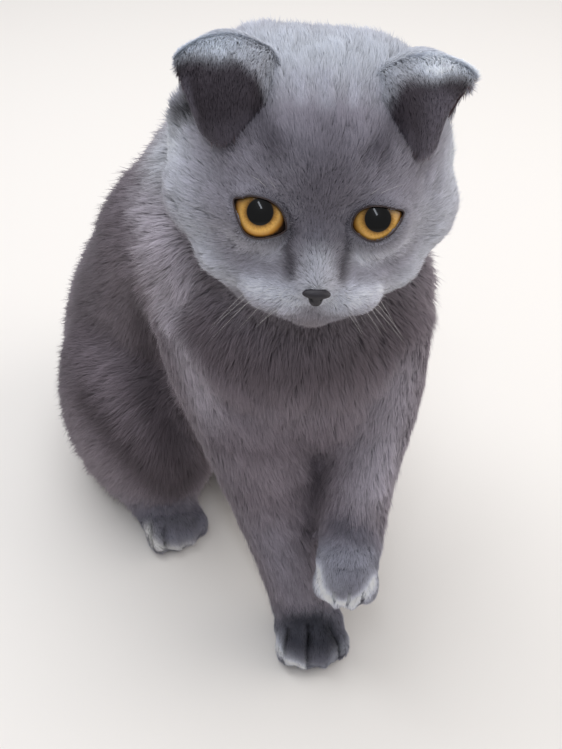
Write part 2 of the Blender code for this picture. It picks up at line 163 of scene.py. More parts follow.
def ramp(low: float, high: float, values: np.ndarray) -> np.ndarray:
    """A smooth step from 0 at low to 1 at high."""
    t = np.clip((values - low) / (high - low), 0, 1)
    return t * t * (3 - 2 * t)


def line_distance(places: np.ndarray, line: tuple | np.ndarray) -> np.ndarray:
    """The distance from each place to a line of straight stretches.

    Args:
        places: An array of places, one a row.
        line: The places that the line joins, one or more.

    Returns:
        One distance for each place.
    """
    points = np.array(line, float)
    if len(points) == 1:
        return np.linalg.norm(places - points[0], axis=1)
    nearest = np.full(len(places), 1e9)
    for start, end in zip(points, points[1:]):
        along = end - start
        share = np.clip((places - start) @ along / (along @ along), 0, 1)
        nearest = np.minimum(nearest, np.linalg.norm(places - start - share[:, None] * along, axis=1))
    return nearest


def closed_curve(points: tuple, count: int) -> np.ndarray:
    """A smooth closed curve through the points.

    Args:
        points: The points that it passes, two or three numbers each.
        count: How many points the result has.

    Returns:
        An array of that many points.
    """
    knots = np.array(points, float)
    place = np.arange(count) * len(knots) / count
    base = place.astype(int)
    t = (place - base)[:, None]
    p0, p1, p2, p3 = (knots[(base + step) % len(knots)] for step in (-1, 0, 1, 2))
    square, cube = 2 * p0 - 5 * p1 + 4 * p2 - p3, 3 * p1 - p0 - 3 * p2 + p3
    return 0.5 * (2 * p1 + (p2 - p0) * t + square * t**2 + cube * t**3)


def bezier(line: Line, t: np.ndarray) -> np.ndarray:
    """Places on the curve that three places steer.

    Args:
        line: Where the curve starts, the place that it bends towards, and where it ends.
        t: How far along the curve each wanted place is, from 0 to 1.

    Returns:
        The places, with one more axis than t.
    """
    first, middle, last = (np.array(place, float) for place in line)
    t = np.asarray(t)[..., None]
    return first * (1 - t) ** 2 + middle * (2 * t * (1 - t)) + last * t**2


@dataclass(frozen=True)
class HeadPlace:
    """Where the head and its eyes stand, as in the solids.

    Attributes:
        centre: The middle of the head in the sculpting frame.
        pitch: The head's turn about X, in degrees.
        roll: Its turn about Y, in degrees.
        yaw: Its turn about Z, in degrees.
        eye: The middle of the left eye in the head's frame.
        eye_radius: The eyeball's radius.
        gaze_rise: How far up the eyes look, in degrees.
        gaze_turn: How far to the left they look, in degrees.
    """

    centre: Place = (0.85, 0.1, 14.95)
    pitch: float = -2.0
    roll: float = 5.0
    yaw: float = 2.0
    eye: Place = (1.5, -2.38, 0.22)
    eye_radius: float = 0.84
    gaze_rise: float = 27.0
    gaze_turn: float = -4.0

    def turn(self) -> np.ndarray:
        """The rotation from the head's frame to the sculpting frame."""
        x, y, z = (math.radians(angle) for angle in (self.pitch, self.roll, self.yaw))
        return np.array(Matrix.Rotation(z, 3, "Z") @ Matrix.Rotation(y, 3, "Y") @ Matrix.Rotation(x, 3, "X"))

    def outwards(self, places: np.ndarray) -> np.ndarray:
        """Places of the head's frame in the sculpting frame."""
        return np.asarray(places, float) @ self.turn().T + np.array(self.centre)

    def inwards(self, places: np.ndarray) -> np.ndarray:
        """Places of the sculpting frame in the head's frame."""
        return (np.asarray(places, float) - np.array(self.centre)) @ self.turn()

    def eye_centre(self, side: Side) -> np.ndarray:
        """The middle of an eyeball in the head's frame."""
        return np.array(self.eye) * (side.value, 1, 1)

    def gaze(self, side: Side) -> np.ndarray:
        """The frame of an eye's gaze, in the head's frame.

        Args:
            side: The eye.

        Returns:
            The unit vectors outwards, up and ahead, as rows.
        """
        rise, turn = math.radians(self.gaze_rise), math.radians(self.gaze_turn)
        ahead = np.array((math.sin(turn) * math.cos(rise), -math.cos(turn) * math.cos(rise), math.sin(rise)))
        out = np.array((side.value, 0.0, 0.0))
        out = unit(out - ahead * (out @ ahead))
        return np.array((out, np.cross(ahead, out) * side.value, ahead))


HEAD = HeadPlace()

# How far from the ball's middle the lids' opening is measured, in centimetres.
LID_RADIUS = 0.87
# The opening between the lids, outwards and up from the pupil, as it shows along the gaze.
LID_LINES = {
    Side.RIGHT: (
        (0.69, 0.25), (0.46, 0.33), (0.2, 0.385), (-0.24, 0.29), (-0.55, 0.04), (-0.68, -0.3),
        (-0.64, -0.47), (-0.36, -0.61), (0.07, -0.68), (0.38, -0.54), (0.58, -0.15),
    ),
    Side.LEFT: (
        (0.66, 0.22), (0.37, 0.28), (0.05, 0.32), (-0.28, 0.28), (-0.54, 0.1), (-0.63, -0.22),
        (-0.46, -0.43), (-0.12, -0.58), (0.22, -0.48), (0.48, -0.24), (0.64, 0.04),
    ),
}


@dataclass(frozen=True)
class Groove:
    """A line pressed into the skin, darker than the coat beside it: painted shade in the crease, and on the
    lips their dark skin too.

    Attributes:
        line: The places along it.
        depth: How deep it is, in centimetres.
        width: How far from its middle it fades, in centimetres.
        dark: How much of the coat's light it takes.
        space: The frame of its places.
    """

    line: Line
    depth: float
    width: float
    dark: float
    space: Space = Space.BODY

    def press(self, in_head: np.ndarray, in_body: np.ndarray) -> np.ndarray:
        """How near each place is to the middle of the groove, from 0 to 1."""
        places = in_head if self.space is Space.HEAD else in_body
        return np.exp(-((line_distance(places, self.line) / self.width) ** 2))


# Places in the head's frame where long fur at the foot of each ear fills the form, how far round each
# it reaches, and how high it stands.
MOUNDS = (((1.75, 0.7, 3.1), 1.1, 0.36), ((-1.75, 0.9, 3.1), 1.1, 0.42), ((-3.6, 0.3, 1.7), 0.7, 0.26))

GROOVES = (
    # The lips, and the line under the nose.
    *(
        Groove(
            (
                (0.02 * side, -3.85, -1.82), (0.4 * side, -3.84, -1.98),
                (0.95 * side, -3.72, -2.02), (1.45 * side, -3.3, -1.9),
            ),
            0.07, 0.09, 0.6, Space.HEAD,
        )
        for side in (1, -1)
    ),
    Groove(((0.0, -4.1, -1.4), (0.0, -3.95, -1.82)), 0.06, 0.06, 0.7, Space.HEAD),
    # Between the toes of the standing paw, from the inner to the outer gap.
    Groove(
        ((0.1, -5.1, 1.35), (0.02, -5.45, 1.16), (-0.02, -5.7, 1.0), (-0.02, -5.85, 0.3)), 0.28, 0.13, 0.93
    ),
    Groove(((0.88, -5.2, 1.6), (0.88, -5.62, 1.29), (0.87, -5.9, 1.05), (0.87, -6.15, 0.3)), 0.3, 0.13, 0.95),
    Groove(((1.62, -5.0, 1.5), (1.8, -5.33, 1.21), (1.96, -5.62, 0.96), (2.0, -5.8, 0.3)), 0.28, 0.13, 0.93),
    # The fold over the lifted paw, and between its toes.
    Groove(((1.66, -5.6, 5.06), (2.07, -5.68, 5.1), (2.5, -5.62, 5.05)), 0.06, 0.09, 0.35),
    Groove(((1.62, -5.8, 4.3), (1.62, -5.9, 3.7)), 0.03, 0.07, 0.2),
    Groove(((2.08, -5.95, 4.4), (2.05, -5.95, 3.7)), 0.03, 0.07, 0.2),
    Groove(((2.5, -5.85, 4.3), (2.45, -5.85, 3.7)), 0.03, 0.07, 0.2),
    # Between the toes of the hind foot that shows.
    Groove(((-4.3, -0.6, 1.15), (-4.25, -0.89, 0.9), (-4.27, -1.1, 0.3)), 0.22, 0.11, 0.9),
    Groove(((-3.75, -0.6, 1.15), (-3.65, -0.9, 0.9), (-3.55, -1.1, 0.3)), 0.22, 0.11, 0.85),
    Groove(((-4.85, -0.3, 1.1), (-4.85, -0.65, 0.8), (-4.9, -0.85, 0.3)), 0.18, 0.11, 0.8),
)


@dataclass(frozen=True)
class CoatZone:
    """The coat over one part of the body.

    Attributes:
        depth: How far the skin lies under the coat's tips, in millimetres.
        length: The length of a tuft, in millimetres.
        width: The width of a tuft at its root, in millimetres.
        density: Tufts for each square millimetre.
    """

    depth: float
    length: float
    width: float
    density: float

    def row(self) -> tuple[float, float, float, float]:
        """The values as one row of numbers."""
        return self.depth, self.length, self.width, self.density


ZONES = {
    "head": CoatZone(2.4, 6.0, 0.32, 9.0),
    "neck": CoatZone(4.6, 8.5, 0.36, 8.0),
    "torso": CoatZone(4.6, 8.5, 0.36, 6.6),
    "foreleg_left": CoatZone(2.2, 5.5, 0.32, 10.0),
    "foreleg_right": CoatZone(2.2, 5.5, 0.32, 10.0),
    "forepaw_left": CoatZone(0.8, 2.0, 0.24, 15.0),
    "forepaw_right": CoatZone(0.8, 2.0, 0.24, 15.0),
    "thigh_left": CoatZone(4.4, 8.5, 0.36, 6.0),
    "thigh_right": CoatZone(4.4, 8.5, 0.36, 8.0),
    "hindfoot_left": CoatZone(1.0, 2.4, 0.28, 9.0),
    "hindfoot_right": CoatZone(1.0, 2.4, 0.26, 12.0),
    "tail_base": CoatZone(3.4, 8.0, 0.38, 5.5),
    "tail_middle": CoatZone(3.2, 8.0, 0.38, 5.5),
    "tail_tip": CoatZone(2.8, 7.0, 0.36, 6.0),
}
EAR_ZONE = CoatZone(0.5, 2.2, 0.22, 12.0)
# The coat over the fold of an ear, and over its root and the apron beside it.
FOLD_ZONE = CoatZone(1.0, 2.8, 0.22, 22.0)
APRON_ZONE = CoatZone(1.6, 4.2, 0.28, 13.0)
FACE_ZONE = CoatZone(1.5, 3.6, 0.27, 13.0)
# Where the face's coat is shorter still: the places along each spot's middle, its reach, and its coat.
FACE_SPOTS = (
    # The bridge of the nose.
    (((0.0, -2.9, 0.2), (0.0, -4.0, -1.1)), 0.75, CoatZone(0.6, 1.7, 0.22, 19.0)),
    # The pads of the muzzle.
    (((0.5, -3.9, -1.5), (1.4, -3.6, -1.5)), 0.7, CoatZone(0.8, 2.4, 0.22, 19.0)),
    (((-0.5, -3.9, -1.5), (-1.4, -3.6, -1.5)), 0.7, CoatZone(0.8, 2.4, 0.22, 19.0)),
    # The lids.
    (((1.5, -2.9, 0.4),), 1.1, CoatZone(0.8, 1.7, 0.22, 19.0)),
    (((-1.5, -2.9, 0.4),), 1.1, CoatZone(0.8, 1.7, 0.22, 19.0)),
    # The chin.
    (((0.0, -3.6, -2.3),), 0.5, CoatZone(1.0, 2.6, 0.24, 16.0)),
)
# The middle of the tail, from root to tip.
TAIL_LINE = (
    (-5.6, 9.4, 2.6), (-5.2, 11.2, 1.4), (-3.0, 12.3, 1.05), (-0.2, 12.0, 0.98), (2.0, 10.4, 0.9),
    (3.3, 8.2, 0.75),
)

# The pieces that the coat is made in.
GROUPS = (
    "face", "crown", "ears", "neck", "trunk_left", "trunk_right", "foreleg_left", "foreleg_right",
    "hindleg_left", "hindleg_right", "tail",
)


@dataclass(frozen=True)
class MarkingAndPaintedLight:
    """A soft spot or streak of colour on the coat, the same on the skin and the tufts; some are painted light
    or shade.

    Attributes:
        colour: Its sRGB colour.
        line: The places along its middle.
        reach: How far out it fades, in centimetres.
        strength: How much it covers in the middle.
        space: The frame of its places.
        paired: Whether the other side has it too.
    """

    colour: str
    line: Line
    reach: float
    strength: float
    space: Space = Space.HEAD
    paired: bool = False

    def mirrored(self) -> Line:
        """The line on the other side: of the head, or of the trunk's upright middle plane.

        Returns:
            The mirrored places.
        """
        if self.space is Space.HEAD:
            return tuple((-x, y, z) for x, y, z in self.line)
        out = np.array((math.cos(BODY_TURN), math.sin(BODY_TURN), 0.0))
        hips = np.array(HIPS)
        return tuple(tuple(place - 2 * ((place - hips) @ out) * out) for place in np.array(self.line))

    def cover(self, in_head: np.ndarray, in_body: np.ndarray) -> np.ndarray:
        """How much of the marking or painted light shows at each place.

        Args:
            in_head: The places in the head's frame.
            in_body: The same places in the sculpting frame.

        Returns:
            Shares from 0 to the marking's strength.
        """
        places = in_head if self.space is Space.HEAD else in_body
        distance = line_distance(places, self.line)
        if self.paired:
            distance = np.minimum(distance, line_distance(places, self.mirrored()))
        return self.strength * np.exp(-((distance / self.reach) ** 2))


# The coat's markings and its painted light and shade, in the order in which they are laid on.
MARKINGS_AND_PAINTED_LIGHT = (
    # The silvered crown and nape, paler partly as painted light from above.
    MarkingAndPaintedLight("a2a5aa", ((-1.9, -0.2, 3.6), (0.0, -0.4, 3.6), (1.9, -0.2, 3.6)), 1.4, 0.85),
    MarkingAndPaintedLight("9c9fa4", ((0.0, 0.2, 3.6), (0.0, 2.4, 3.0)), 2.0, 0.6),
    # The pale cheeks and the sides of the neck behind them.
    MarkingAndPaintedLight(
        "b3b5ba", ((3.6, -0.5, 0.9), (3.4, -1.5, 0.1), (2.9, -2.3, -1.0), (2.2, -2.7, -1.8)),
        0.8, 0.75, paired=True,
    ),
    MarkingAndPaintedLight("b6b9bd", ((4.0, 0.5, 0.6), (4.1, 1.9, -0.3)), 1.5, 0.75, paired=True),
    # The darker forehead and brows.
    MarkingAndPaintedLight("6b676f", ((-0.8, -2.2, 2.75), (0.8, -2.2, 2.75)), 0.8, 0.75),
    MarkingAndPaintedLight("67636b", ((0.0, -2.7, 2.2), (0.0, -3.1, 1.2), (0.0, -3.22, 0.25)), 0.85, 0.85),
    MarkingAndPaintedLight("817e86", ((1.3, -2.7, 2.1), (2.2, -2.3, 1.8)), 0.7, 0.65, paired=True),
    # Painted shadow of the ear flaps on the forehead, at the foot of each ear.
    MarkingAndPaintedLight("46424a", ((1.8, -1.7, 2.65), (1.6, -2.2, 2.5), (1.2, -2.8, 2.1)), 0.36, 0.75, paired=True),
    MarkingAndPaintedLight("4b474e", ((2.0, -2.15, 2.2), (2.42, -2.05, 1.75)), 0.4, 0.72, paired=True),
    # Pale outside the left eye.
    MarkingAndPaintedLight("a8a9ae", ((2.3, -2.75, 0.0), (2.9, -2.25, 0.35)), 0.6, 0.5),
    # Painted shadow in the hollow behind the right ear's flap.
    MarkingAndPaintedLight("151316", ((-3.5, -0.7, 2.1), (-3.55, 0.2, 1.3)), 0.36, 0.95),
    # Faint streaks up the forehead.
    MarkingAndPaintedLight("9b9ca4", ((0.75, -1.2, 3.2), (0.62, -2.0, 2.85)), 0.16, 0.6, paired=True),
    MarkingAndPaintedLight("8e8f97", ((-0.1, -1.2, 3.3), (-0.05, -2.1, 2.9)), 0.2, 0.6),
    # The bridge of the nose, darker above.
    MarkingAndPaintedLight("66646c", ((0.0, -3.3, -0.1), (0.0, -3.6, -0.6)), 0.36, 0.8),
    MarkingAndPaintedLight("bdbfc4", ((0.0, -3.6, -0.6), (0.0, -3.9, -1.0)), 0.4, 0.85),
    # The pads of the muzzle.
    MarkingAndPaintedLight("bdbfc5", ((0.45, -3.9, -1.4), (1.1, -3.75, -1.35), (1.6, -3.35, -1.4)), 0.42, 0.85, paired=True),
    # Pale under the eyes.
    MarkingAndPaintedLight("bfc0c5", ((0.95, -3.1, -0.5), (1.5, -3.1, -0.45), (2.0, -2.85, -0.3)), 0.36, 0.8),
    MarkingAndPaintedLight("bfc0c5", ((-0.95, -3.1, -0.5), (-1.5, -3.1, -0.45), (-2.0, -2.85, -0.3)), 0.36, 0.5),
    # Painted shade in the hollow of each cheek, below and outside the eye.
    MarkingAndPaintedLight("84818a", ((2.2, -2.6, -0.6), (1.7, -2.95, -0.95)), 0.38, 0.5, paired=True),
    # Pale bands between the eyes, dark lines down the sides of the nose, and the chin.
    MarkingAndPaintedLight("a09ea6", ((0.72, -3.13, 0.62), (0.41, -3.33, 0.19)), 0.13, 0.6, paired=True),
    MarkingAndPaintedLight(
        "403c43", ((0.74, -3.15, -0.12), (0.68, -3.25, -0.45), (0.56, -3.6, -0.92)), 0.15, 0.85, paired=True,
    ),
    MarkingAndPaintedLight("7d7678", ((0.0, -3.6, -2.35), (0.0, -3.3, -2.7)), 0.42, 0.7),
    # Painted shadow of the head on the upper chest.
    MarkingAndPaintedLight(
        "463d41", ((-2.4, -1.2, 11.4), (-0.6, -2.2, 10.9), (1.4, -2.3, 10.9), (3.0, -1.4, 11.2)),
        1.3, 0.75, Space.BODY,
    ),
    # Painted light along the right shoulder.
    MarkingAndPaintedLight(
        "b2aeb4", ((-3.93, 1.44, 13.5), (-3.58, -0.47, 11.94), (-2.98, -1.66, 10.6), (-2.4, -2.3, 8.8)),
        0.6, 0.55, Space.BODY,
    ),
    MarkingAndPaintedLight(
        "b2aeb4", ((-3.38, 0.25, 13.4), (-2.91, -0.7, 12.8), (-2.78, -1.04, 12.16)), 0.6, 0.58, Space.BODY,
    ),
    # The front of the standing foreleg, and painted shade behind the shoulder and between the foreleg and the
    # thigh.
    MarkingAndPaintedLight("7b757c", ((-2.3, -2.6, 7.9), (-1.7, -3.1, 6.4), (-1.2, -3.5, 4.8)), 0.6, 0.35, Space.BODY),
    MarkingAndPaintedLight(
        "3f373b",
        ((-4.44, 0.9, 10.4), (-4.6, 1.4, 8.0), (-4.0, 0.8, 6.1), (-3.6, 0.0, 4.5), (-3.0, 0.0, 3.2)),
        0.75, 0.75, Space.BODY,
    ),
    MarkingAndPaintedLight(
        "473f43", ((-6.6, 1.4, 5.9), (-5.5, 0.4, 5.2), (-4.7, -0.1, 4.3), (-3.8, -0.1, 2.9)),
        0.8, 0.8, Space.BODY,
    ),
    # Painted shade on both flanks.
    MarkingAndPaintedLight(
        "4d454a", ((-5.2, 3.2, 11.6), (-6.2, 3.7, 9.8), (-6.9, 3.8, 8.0), (-7.5, 3.8, 5.5)),
        2.3, 0.72, Space.BODY, paired=True,
    ),
    # Soft bands across the breast.
    MarkingAndPaintedLight("5a5257", ((-2.3, -2.7, 7.7), (-0.4, -3.1, 7.7), (0.7, -2.7, 7.5)), 0.3, 0.4, Space.BODY),
    MarkingAndPaintedLight("7d777e", ((-2.4, -2.4, 8.5), (-0.6, -2.8, 8.9), (1.2, -2.8, 8.9)), 0.35, 0.35, Space.BODY),
    MarkingAndPaintedLight("5a5257", ((-1.4, -3.3, 6.1), (0.0, -3.5, 6.0), (0.8, -3.1, 6.0)), 0.28, 0.4, Space.BODY),
    # Painted shadow in the cleft between the forelegs.
    MarkingAndPaintedLight(
        "3c3438", ((1.17, -2.56, 6.1), (1.17, -3.1, 5.7), (1.05, -3.4, 5.3), (0.9, -3.7, 4.8)),
        0.3, 0.75, Space.BODY,
    ),
    # The standing foreleg above its paw.
    MarkingAndPaintedLight("85828b", ((-0.4, -4.0, 4.6), (0.2, -4.3, 3.2)), 0.9, 0.6, Space.BODY),
    # The outer side of the lifted foreleg.
    MarkingAndPaintedLight("a6a3aa", ((3.5, -1.2, 9.4), (3.4, -2.2, 7.6), (2.8, -3.4, 6.6)), 0.9, 0.6, Space.BODY),
    # The lifted paw and its pale rim: silver tips brightened further as painted rim light.
    MarkingAndPaintedLight("9a9ba4", ((1.6, -5.3, 5.2), (2.5, -5.3, 5.2)), 0.6, 0.6, Space.BODY),
    MarkingAndPaintedLight("57565f", ((1.8, -4.4, 6.0), (2.4, -4.7, 5.75)), 0.5, 0.7, Space.BODY),
    MarkingAndPaintedLight("a3a4ac", ((1.1, -5.0, 5.2), (1.1, -5.2, 4.7)), 0.3, 0.7, Space.BODY),
    MarkingAndPaintedLight("8a8b93", ((1.5, -5.7, 4.75), (1.85, -5.9, 4.6)), 0.22, 0.6, Space.BODY),
    MarkingAndPaintedLight(
        "d8dae0",
        (
            (1.1, -5.3, 4.6), (1.25, -5.63, 4.2), (1.5, -5.84, 3.85),
            (2.03, -6.0, 3.8), (2.45, -5.9, 4.1), (2.8, -5.6, 4.5),
        ),
        0.28, 0.9, Space.BODY,
    ),
    # The standing paw, darkened above as the painted shadow of the lifted paw, with pale outer toes: silver
    # tips brightened further as painted rim light.
    MarkingAndPaintedLight("2f3038", ((0.5, -4.95, 1.75), (0.95, -4.95, 1.8), (1.5, -5.1, 1.5)), 0.55, 0.9, Space.BODY),
    MarkingAndPaintedLight("2a2b33", ((0.4, -5.4, 1.2), (1.4, -5.5, 1.2)), 0.6, 0.85, Space.BODY),
    MarkingAndPaintedLight(
        "dfe1e6", ((-0.35, -5.2, 0.9), (-0.1, -5.75, 0.75), (0.3, -5.98, 0.6), (0.6, -6.1, 0.5)),
        0.3, 0.95, Space.BODY,
    ),
    MarkingAndPaintedLight("8e9098", ((0.9, -6.12, 0.5), (1.34, -6.05, 0.5), (1.8, -5.78, 0.7)), 0.24, 0.8, Space.BODY),
    MarkingAndPaintedLight("9ea0a6", ((1.95, -5.6, 0.8), (2.25, -5.2, 0.9)), 0.26, 0.75, Space.BODY),
    # The hind foot that shows: its pale rim, silver tips brightened further as painted rim light, and darker
    # across its top.
    MarkingAndPaintedLight(
        "dad9d6",
        ((-4.95, -0.4, 0.85), (-4.7, -0.95, 0.7), (-4.4, -1.1, 0.5), (-3.7, -1.05, 0.4), (-3.0, -0.8, 0.4)),
        0.3, 0.85, Space.BODY,
    ),
    MarkingAndPaintedLight("4c4a4f", ((-4.3, -0.3, 1.3), (-3.2, -0.2, 1.2)), 0.45, 0.6, Space.BODY),
)


@dataclass(frozen=True)
class BlueCoat:
    """Dense, plush blue cat fur: keratin fibres whose grey comes from clumped pigment.

    The tips are paler than the roots, so the coat looks silvered where it is seen along the hair. It
    has a soft velvet glow at its edges and no sharp gloss.

    Attributes:
        body: The ground colour of the trunk and legs.
        head: That of the head, and in the same way feet and tail.
        ear: The dark of an ear's flap: short dark fur, deepened as painted shade below the fold.
        ear_edge: Its greyer margin.
        inner_ear: The inside of the ear.
        root_shade: The share of its colour that a tuft has at its root, where its neighbours shade it.
        bend_shade: The share that it has halfway.
        tip_shade: The share that it has at its tip.
        roughness: That of dry hair, whose scales scatter the light.
        ior: That of keratin.
        sheen: The velvet glow.
        clearness: The share of light that passes through a thin tuft.
        undercoat_shade: The share of the coat's colour that the skin under it keeps.
    """

    body: str = "7e767c"
    head: str = "86838b"
    feet: str = "7b7a84"
    tail: str = "7a7278"
    ear: str = "3d373d"
    ear_edge: str = "6d6872"
    inner_ear: str = "5e4f52"
    root_shade: float = 0.7
    bend_shade: float = 0.95
    tip_shade: float = 1.2
    roughness: float = 0.62
    ior: float = 1.55
    sheen: float = 0.28
    clearness: float = 0.45
    undercoat_shade: float = 0.85

    def skin_material(self) -> bpy.types.Material:
        """The undercoat that shows between the tufts: the same colours, in shade, with a hair grain.

        Returns:
            The material.
        """
        material, tree = new_material("undercoat")
        colour = add_node(tree, "ShaderNodeAttribute", {"attribute_name": COAT_COLOUR})
        place = add_node(tree, "ShaderNodeTexCoord")
        # Hair grain of 0.4 mm across, drawn as a bump between the roots.
        grain = add_node(
            tree, "ShaderNodeTexNoise", None,
            {"Vector": place.outputs["Object"], "Scale": 2500.0, "Detail": 2.0},
        )
        bump = add_node(
            tree, "ShaderNodeBump", None,
            {"Strength": 0.6, "Distance": 0.0003, "Height": grain.outputs["Fac"]},
        )
        shader = add_node(
            tree, "ShaderNodeBsdfPrincipled", None,
            {"Base Color": colour.outputs["Color"], "Roughness": 0.85, "IOR": self.ior,
             "Specular IOR Level": 0.15, "Normal": bump.outputs["Normal"]},
        )
        add_node(tree, "ShaderNodeOutputMaterial", None, {"Surface": shader.outputs["BSDF"]})
        return material

    def tuft_material(self) -> bpy.types.Material:
        """The tufts: each takes its colour from root to tip from its own points.

        Returns:
            The material.
        """
        material, tree = new_material("blue_fur")
        colour = add_node(tree, "ShaderNodeAttribute", {"attribute_name": COAT_COLOUR})
        shader = add_node(
            tree, "ShaderNodeBsdfPrincipled", None,
            {"Base Color": colour.outputs["Color"], "Roughness": self.roughness, "IOR": self.ior,
             "Specular IOR Level": 0.25, "Sheen Weight": self.sheen, "Sheen Roughness": 0.45,
             "Sheen Tint": (0.93, 0.96, 1.0, 1.0)},
        )
        # Thin hair lets light through, so that a lock seen from below its lit side isn't black.
        glow = add_node(tree, "ShaderNodeBsdfTranslucent", None, {"Color": colour.outputs["Color"]})
        both = add_node(
            tree, "ShaderNodeMixShader", None,
            {0: self.clearness, 1: shader.outputs["BSDF"], 2: glow.outputs["BSDF"]},
        )
        add_node(tree, "ShaderNodeOutputMaterial", None, {"Surface": both.outputs["Shader"]})
        return material


@dataclass(frozen=True)
class AmberEye:
    """A wet amber iris under a clear cornea: radial fibres, a dark rim and a round black pupil.

    The tear film gives one sharp glint, and the rest of the ball is soft.

    Attributes:
        rim: The iris's colour at its edge, and inwards from there outer, middle, inner and collar.
        pupil: The pupil's colour.
        pupil_radius: The pupil's radius, in centimetres.
        iris_radius: The iris's radius, in centimetres.
    """

    rim: str = "3a2614"
    outer: str = "a9742f"
    middle: str = "dcab58"
    inner: str = "cf9c4b"
    collar: str = "8a642c"
    pupil: str = "050505"
    pupil_radius: float = 0.335
    iris_radius: float = 0.68

    def material(self) -> bpy.types.Material:
        """The eyeball's material, drawn around its own Z axis, which is the gaze.

        Returns:
            The material.
        """
        material, tree = new_material("amber_eye")
        place = add_node(tree, "ShaderNodeTexCoord")
        parts = add_node(tree, "ShaderNodeSeparateXYZ", None, {"Vector": place.outputs["Object"]})
        across = add_node(
            tree, "ShaderNodeCombineXYZ", None, {"X": parts.outputs["X"], "Y": parts.outputs["Y"]}
        )
        distance = add_node(
            tree, "ShaderNodeVectorMath", {"operation": "LENGTH"}, {0: across.outputs["Vector"]}
        )
        # The colours are drawn on a scale where the iris is one across.
        share = add_node(
            tree, "ShaderNodeMath", {"operation": "DIVIDE"},
            {0: distance.outputs["Value"], 1: self.iris_radius * CM},
        )
        # Fibres: a noise that runs out from the pupil, about 0.1 mm across at the iris's edge.
        direction = add_node(
            tree, "ShaderNodeVectorMath", {"operation": "NORMALIZE"}, {0: across.outputs["Vector"]}
        )
        height = add_node(tree, "ShaderNodeCombineXYZ", None, {"Z": share.outputs["Value"]})
        ray = add_node(
            tree, "ShaderNodeVectorMath", {"operation": "ADD"},
            {0: direction.outputs["Vector"], 1: height.outputs["Vector"]},
        )
        fibres = add_node(
            tree, "ShaderNodeTexNoise", None,
            {"Vector": ray.outputs["Vector"], "Scale": 9.0, "Detail": 6.0, "Roughness": 0.7},
        )
        wobble = add_node(
            tree, "ShaderNodeMath", {"operation": "MULTIPLY_ADD"},
            {0: fibres.outputs["Fac"], 1: 0.14, 2: -0.07},
        )
        spread = add_node(
            tree, "ShaderNodeMath", {"operation": "ADD"},
            {0: share.outputs["Value"], 1: wobble.outputs["Value"]},
        )
        colours = add_node(tree, "ShaderNodeValToRGB", None, {"Fac": spread.outputs["Value"]})
        edge = self.pupil_radius / self.iris_radius
        stops = (
            (edge + 0.03, self.collar), (edge + 0.14, self.inner), (0.72, self.middle), (0.88, self.outer),
            (0.97, self.rim),
        )
        band = colours.color_ramp
        while len(band.elements) < len(stops):
            band.elements.new(0.5)
        for element, (position, colour) in zip(band.elements, stops):
            element.position = position
            element.color = (*linear(colour), 1.0)
        # Painted light and shade: the lower half of the iris is brightened as if the cornea gathered the
        # light from above, and the upper half darkened.
        glow = add_node(
            tree, "ShaderNodeMapRange", None,
            {"Value": parts.outputs["Y"], "From Min": -0.6 * CM, "From Max": 0.45 * CM, "To Min": 1.35,
             "To Max": 0.45},
        )
        lit = add_node(
            tree, "ShaderNodeVectorMath", {"operation": "SCALE"},
            {0: colours.outputs["Color"], "Scale": glow.outputs["Result"]},
        )
        fibre_tone = add_node(
            tree, "ShaderNodeMapRange", None,
            {"Value": fibres.outputs["Fac"], "From Min": 0.3, "From Max": 0.7, "To Min": 0.8, "To Max": 1.15},
        )
        streaked = add_node(
            tree, "ShaderNodeVectorMath", {"operation": "SCALE"},
            {0: lit.outputs["Vector"], "Scale": fibre_tone.outputs["Result"]},
        )
        inside = add_node(
            tree, "ShaderNodeMapRange", {"interpolation_type": "SMOOTHSTEP"},
            {"Value": share.outputs["Value"], "From Min": edge - 0.015, "From Max": edge + 0.03},
        )
        colour = add_node(
            tree, "ShaderNodeMix", {"data_type": "RGBA"},
            {"Factor": inside.outputs["Result"], 6: (*linear(self.pupil), 1.0),
             7: streaked.outputs["Vector"]},
        )
        # The shade of the lids is stored on the ball's points.
        lids = add_node(tree, "ShaderNodeAttribute", {"attribute_name": COAT_COLOUR})
        shaded = add_node(
            tree, "ShaderNodeVectorMath", {"operation": "MULTIPLY"},
            {0: colour.outputs[2], 1: lids.outputs["Color"]},
        )
        shader = add_node(
            tree, "ShaderNodeBsdfPrincipled", None,
            {"Base Color": shaded.outputs["Vector"], "Roughness": 0.35, "IOR": 1.376,
             "Specular IOR Level": 0.1, "Coat Weight": 0.7, "Coat Roughness": 0.02, "Coat IOR": 1.38},
        )
        add_node(tree, "ShaderNodeOutputMaterial", None, {"Surface": shader.outputs["BSDF"]})
        return material


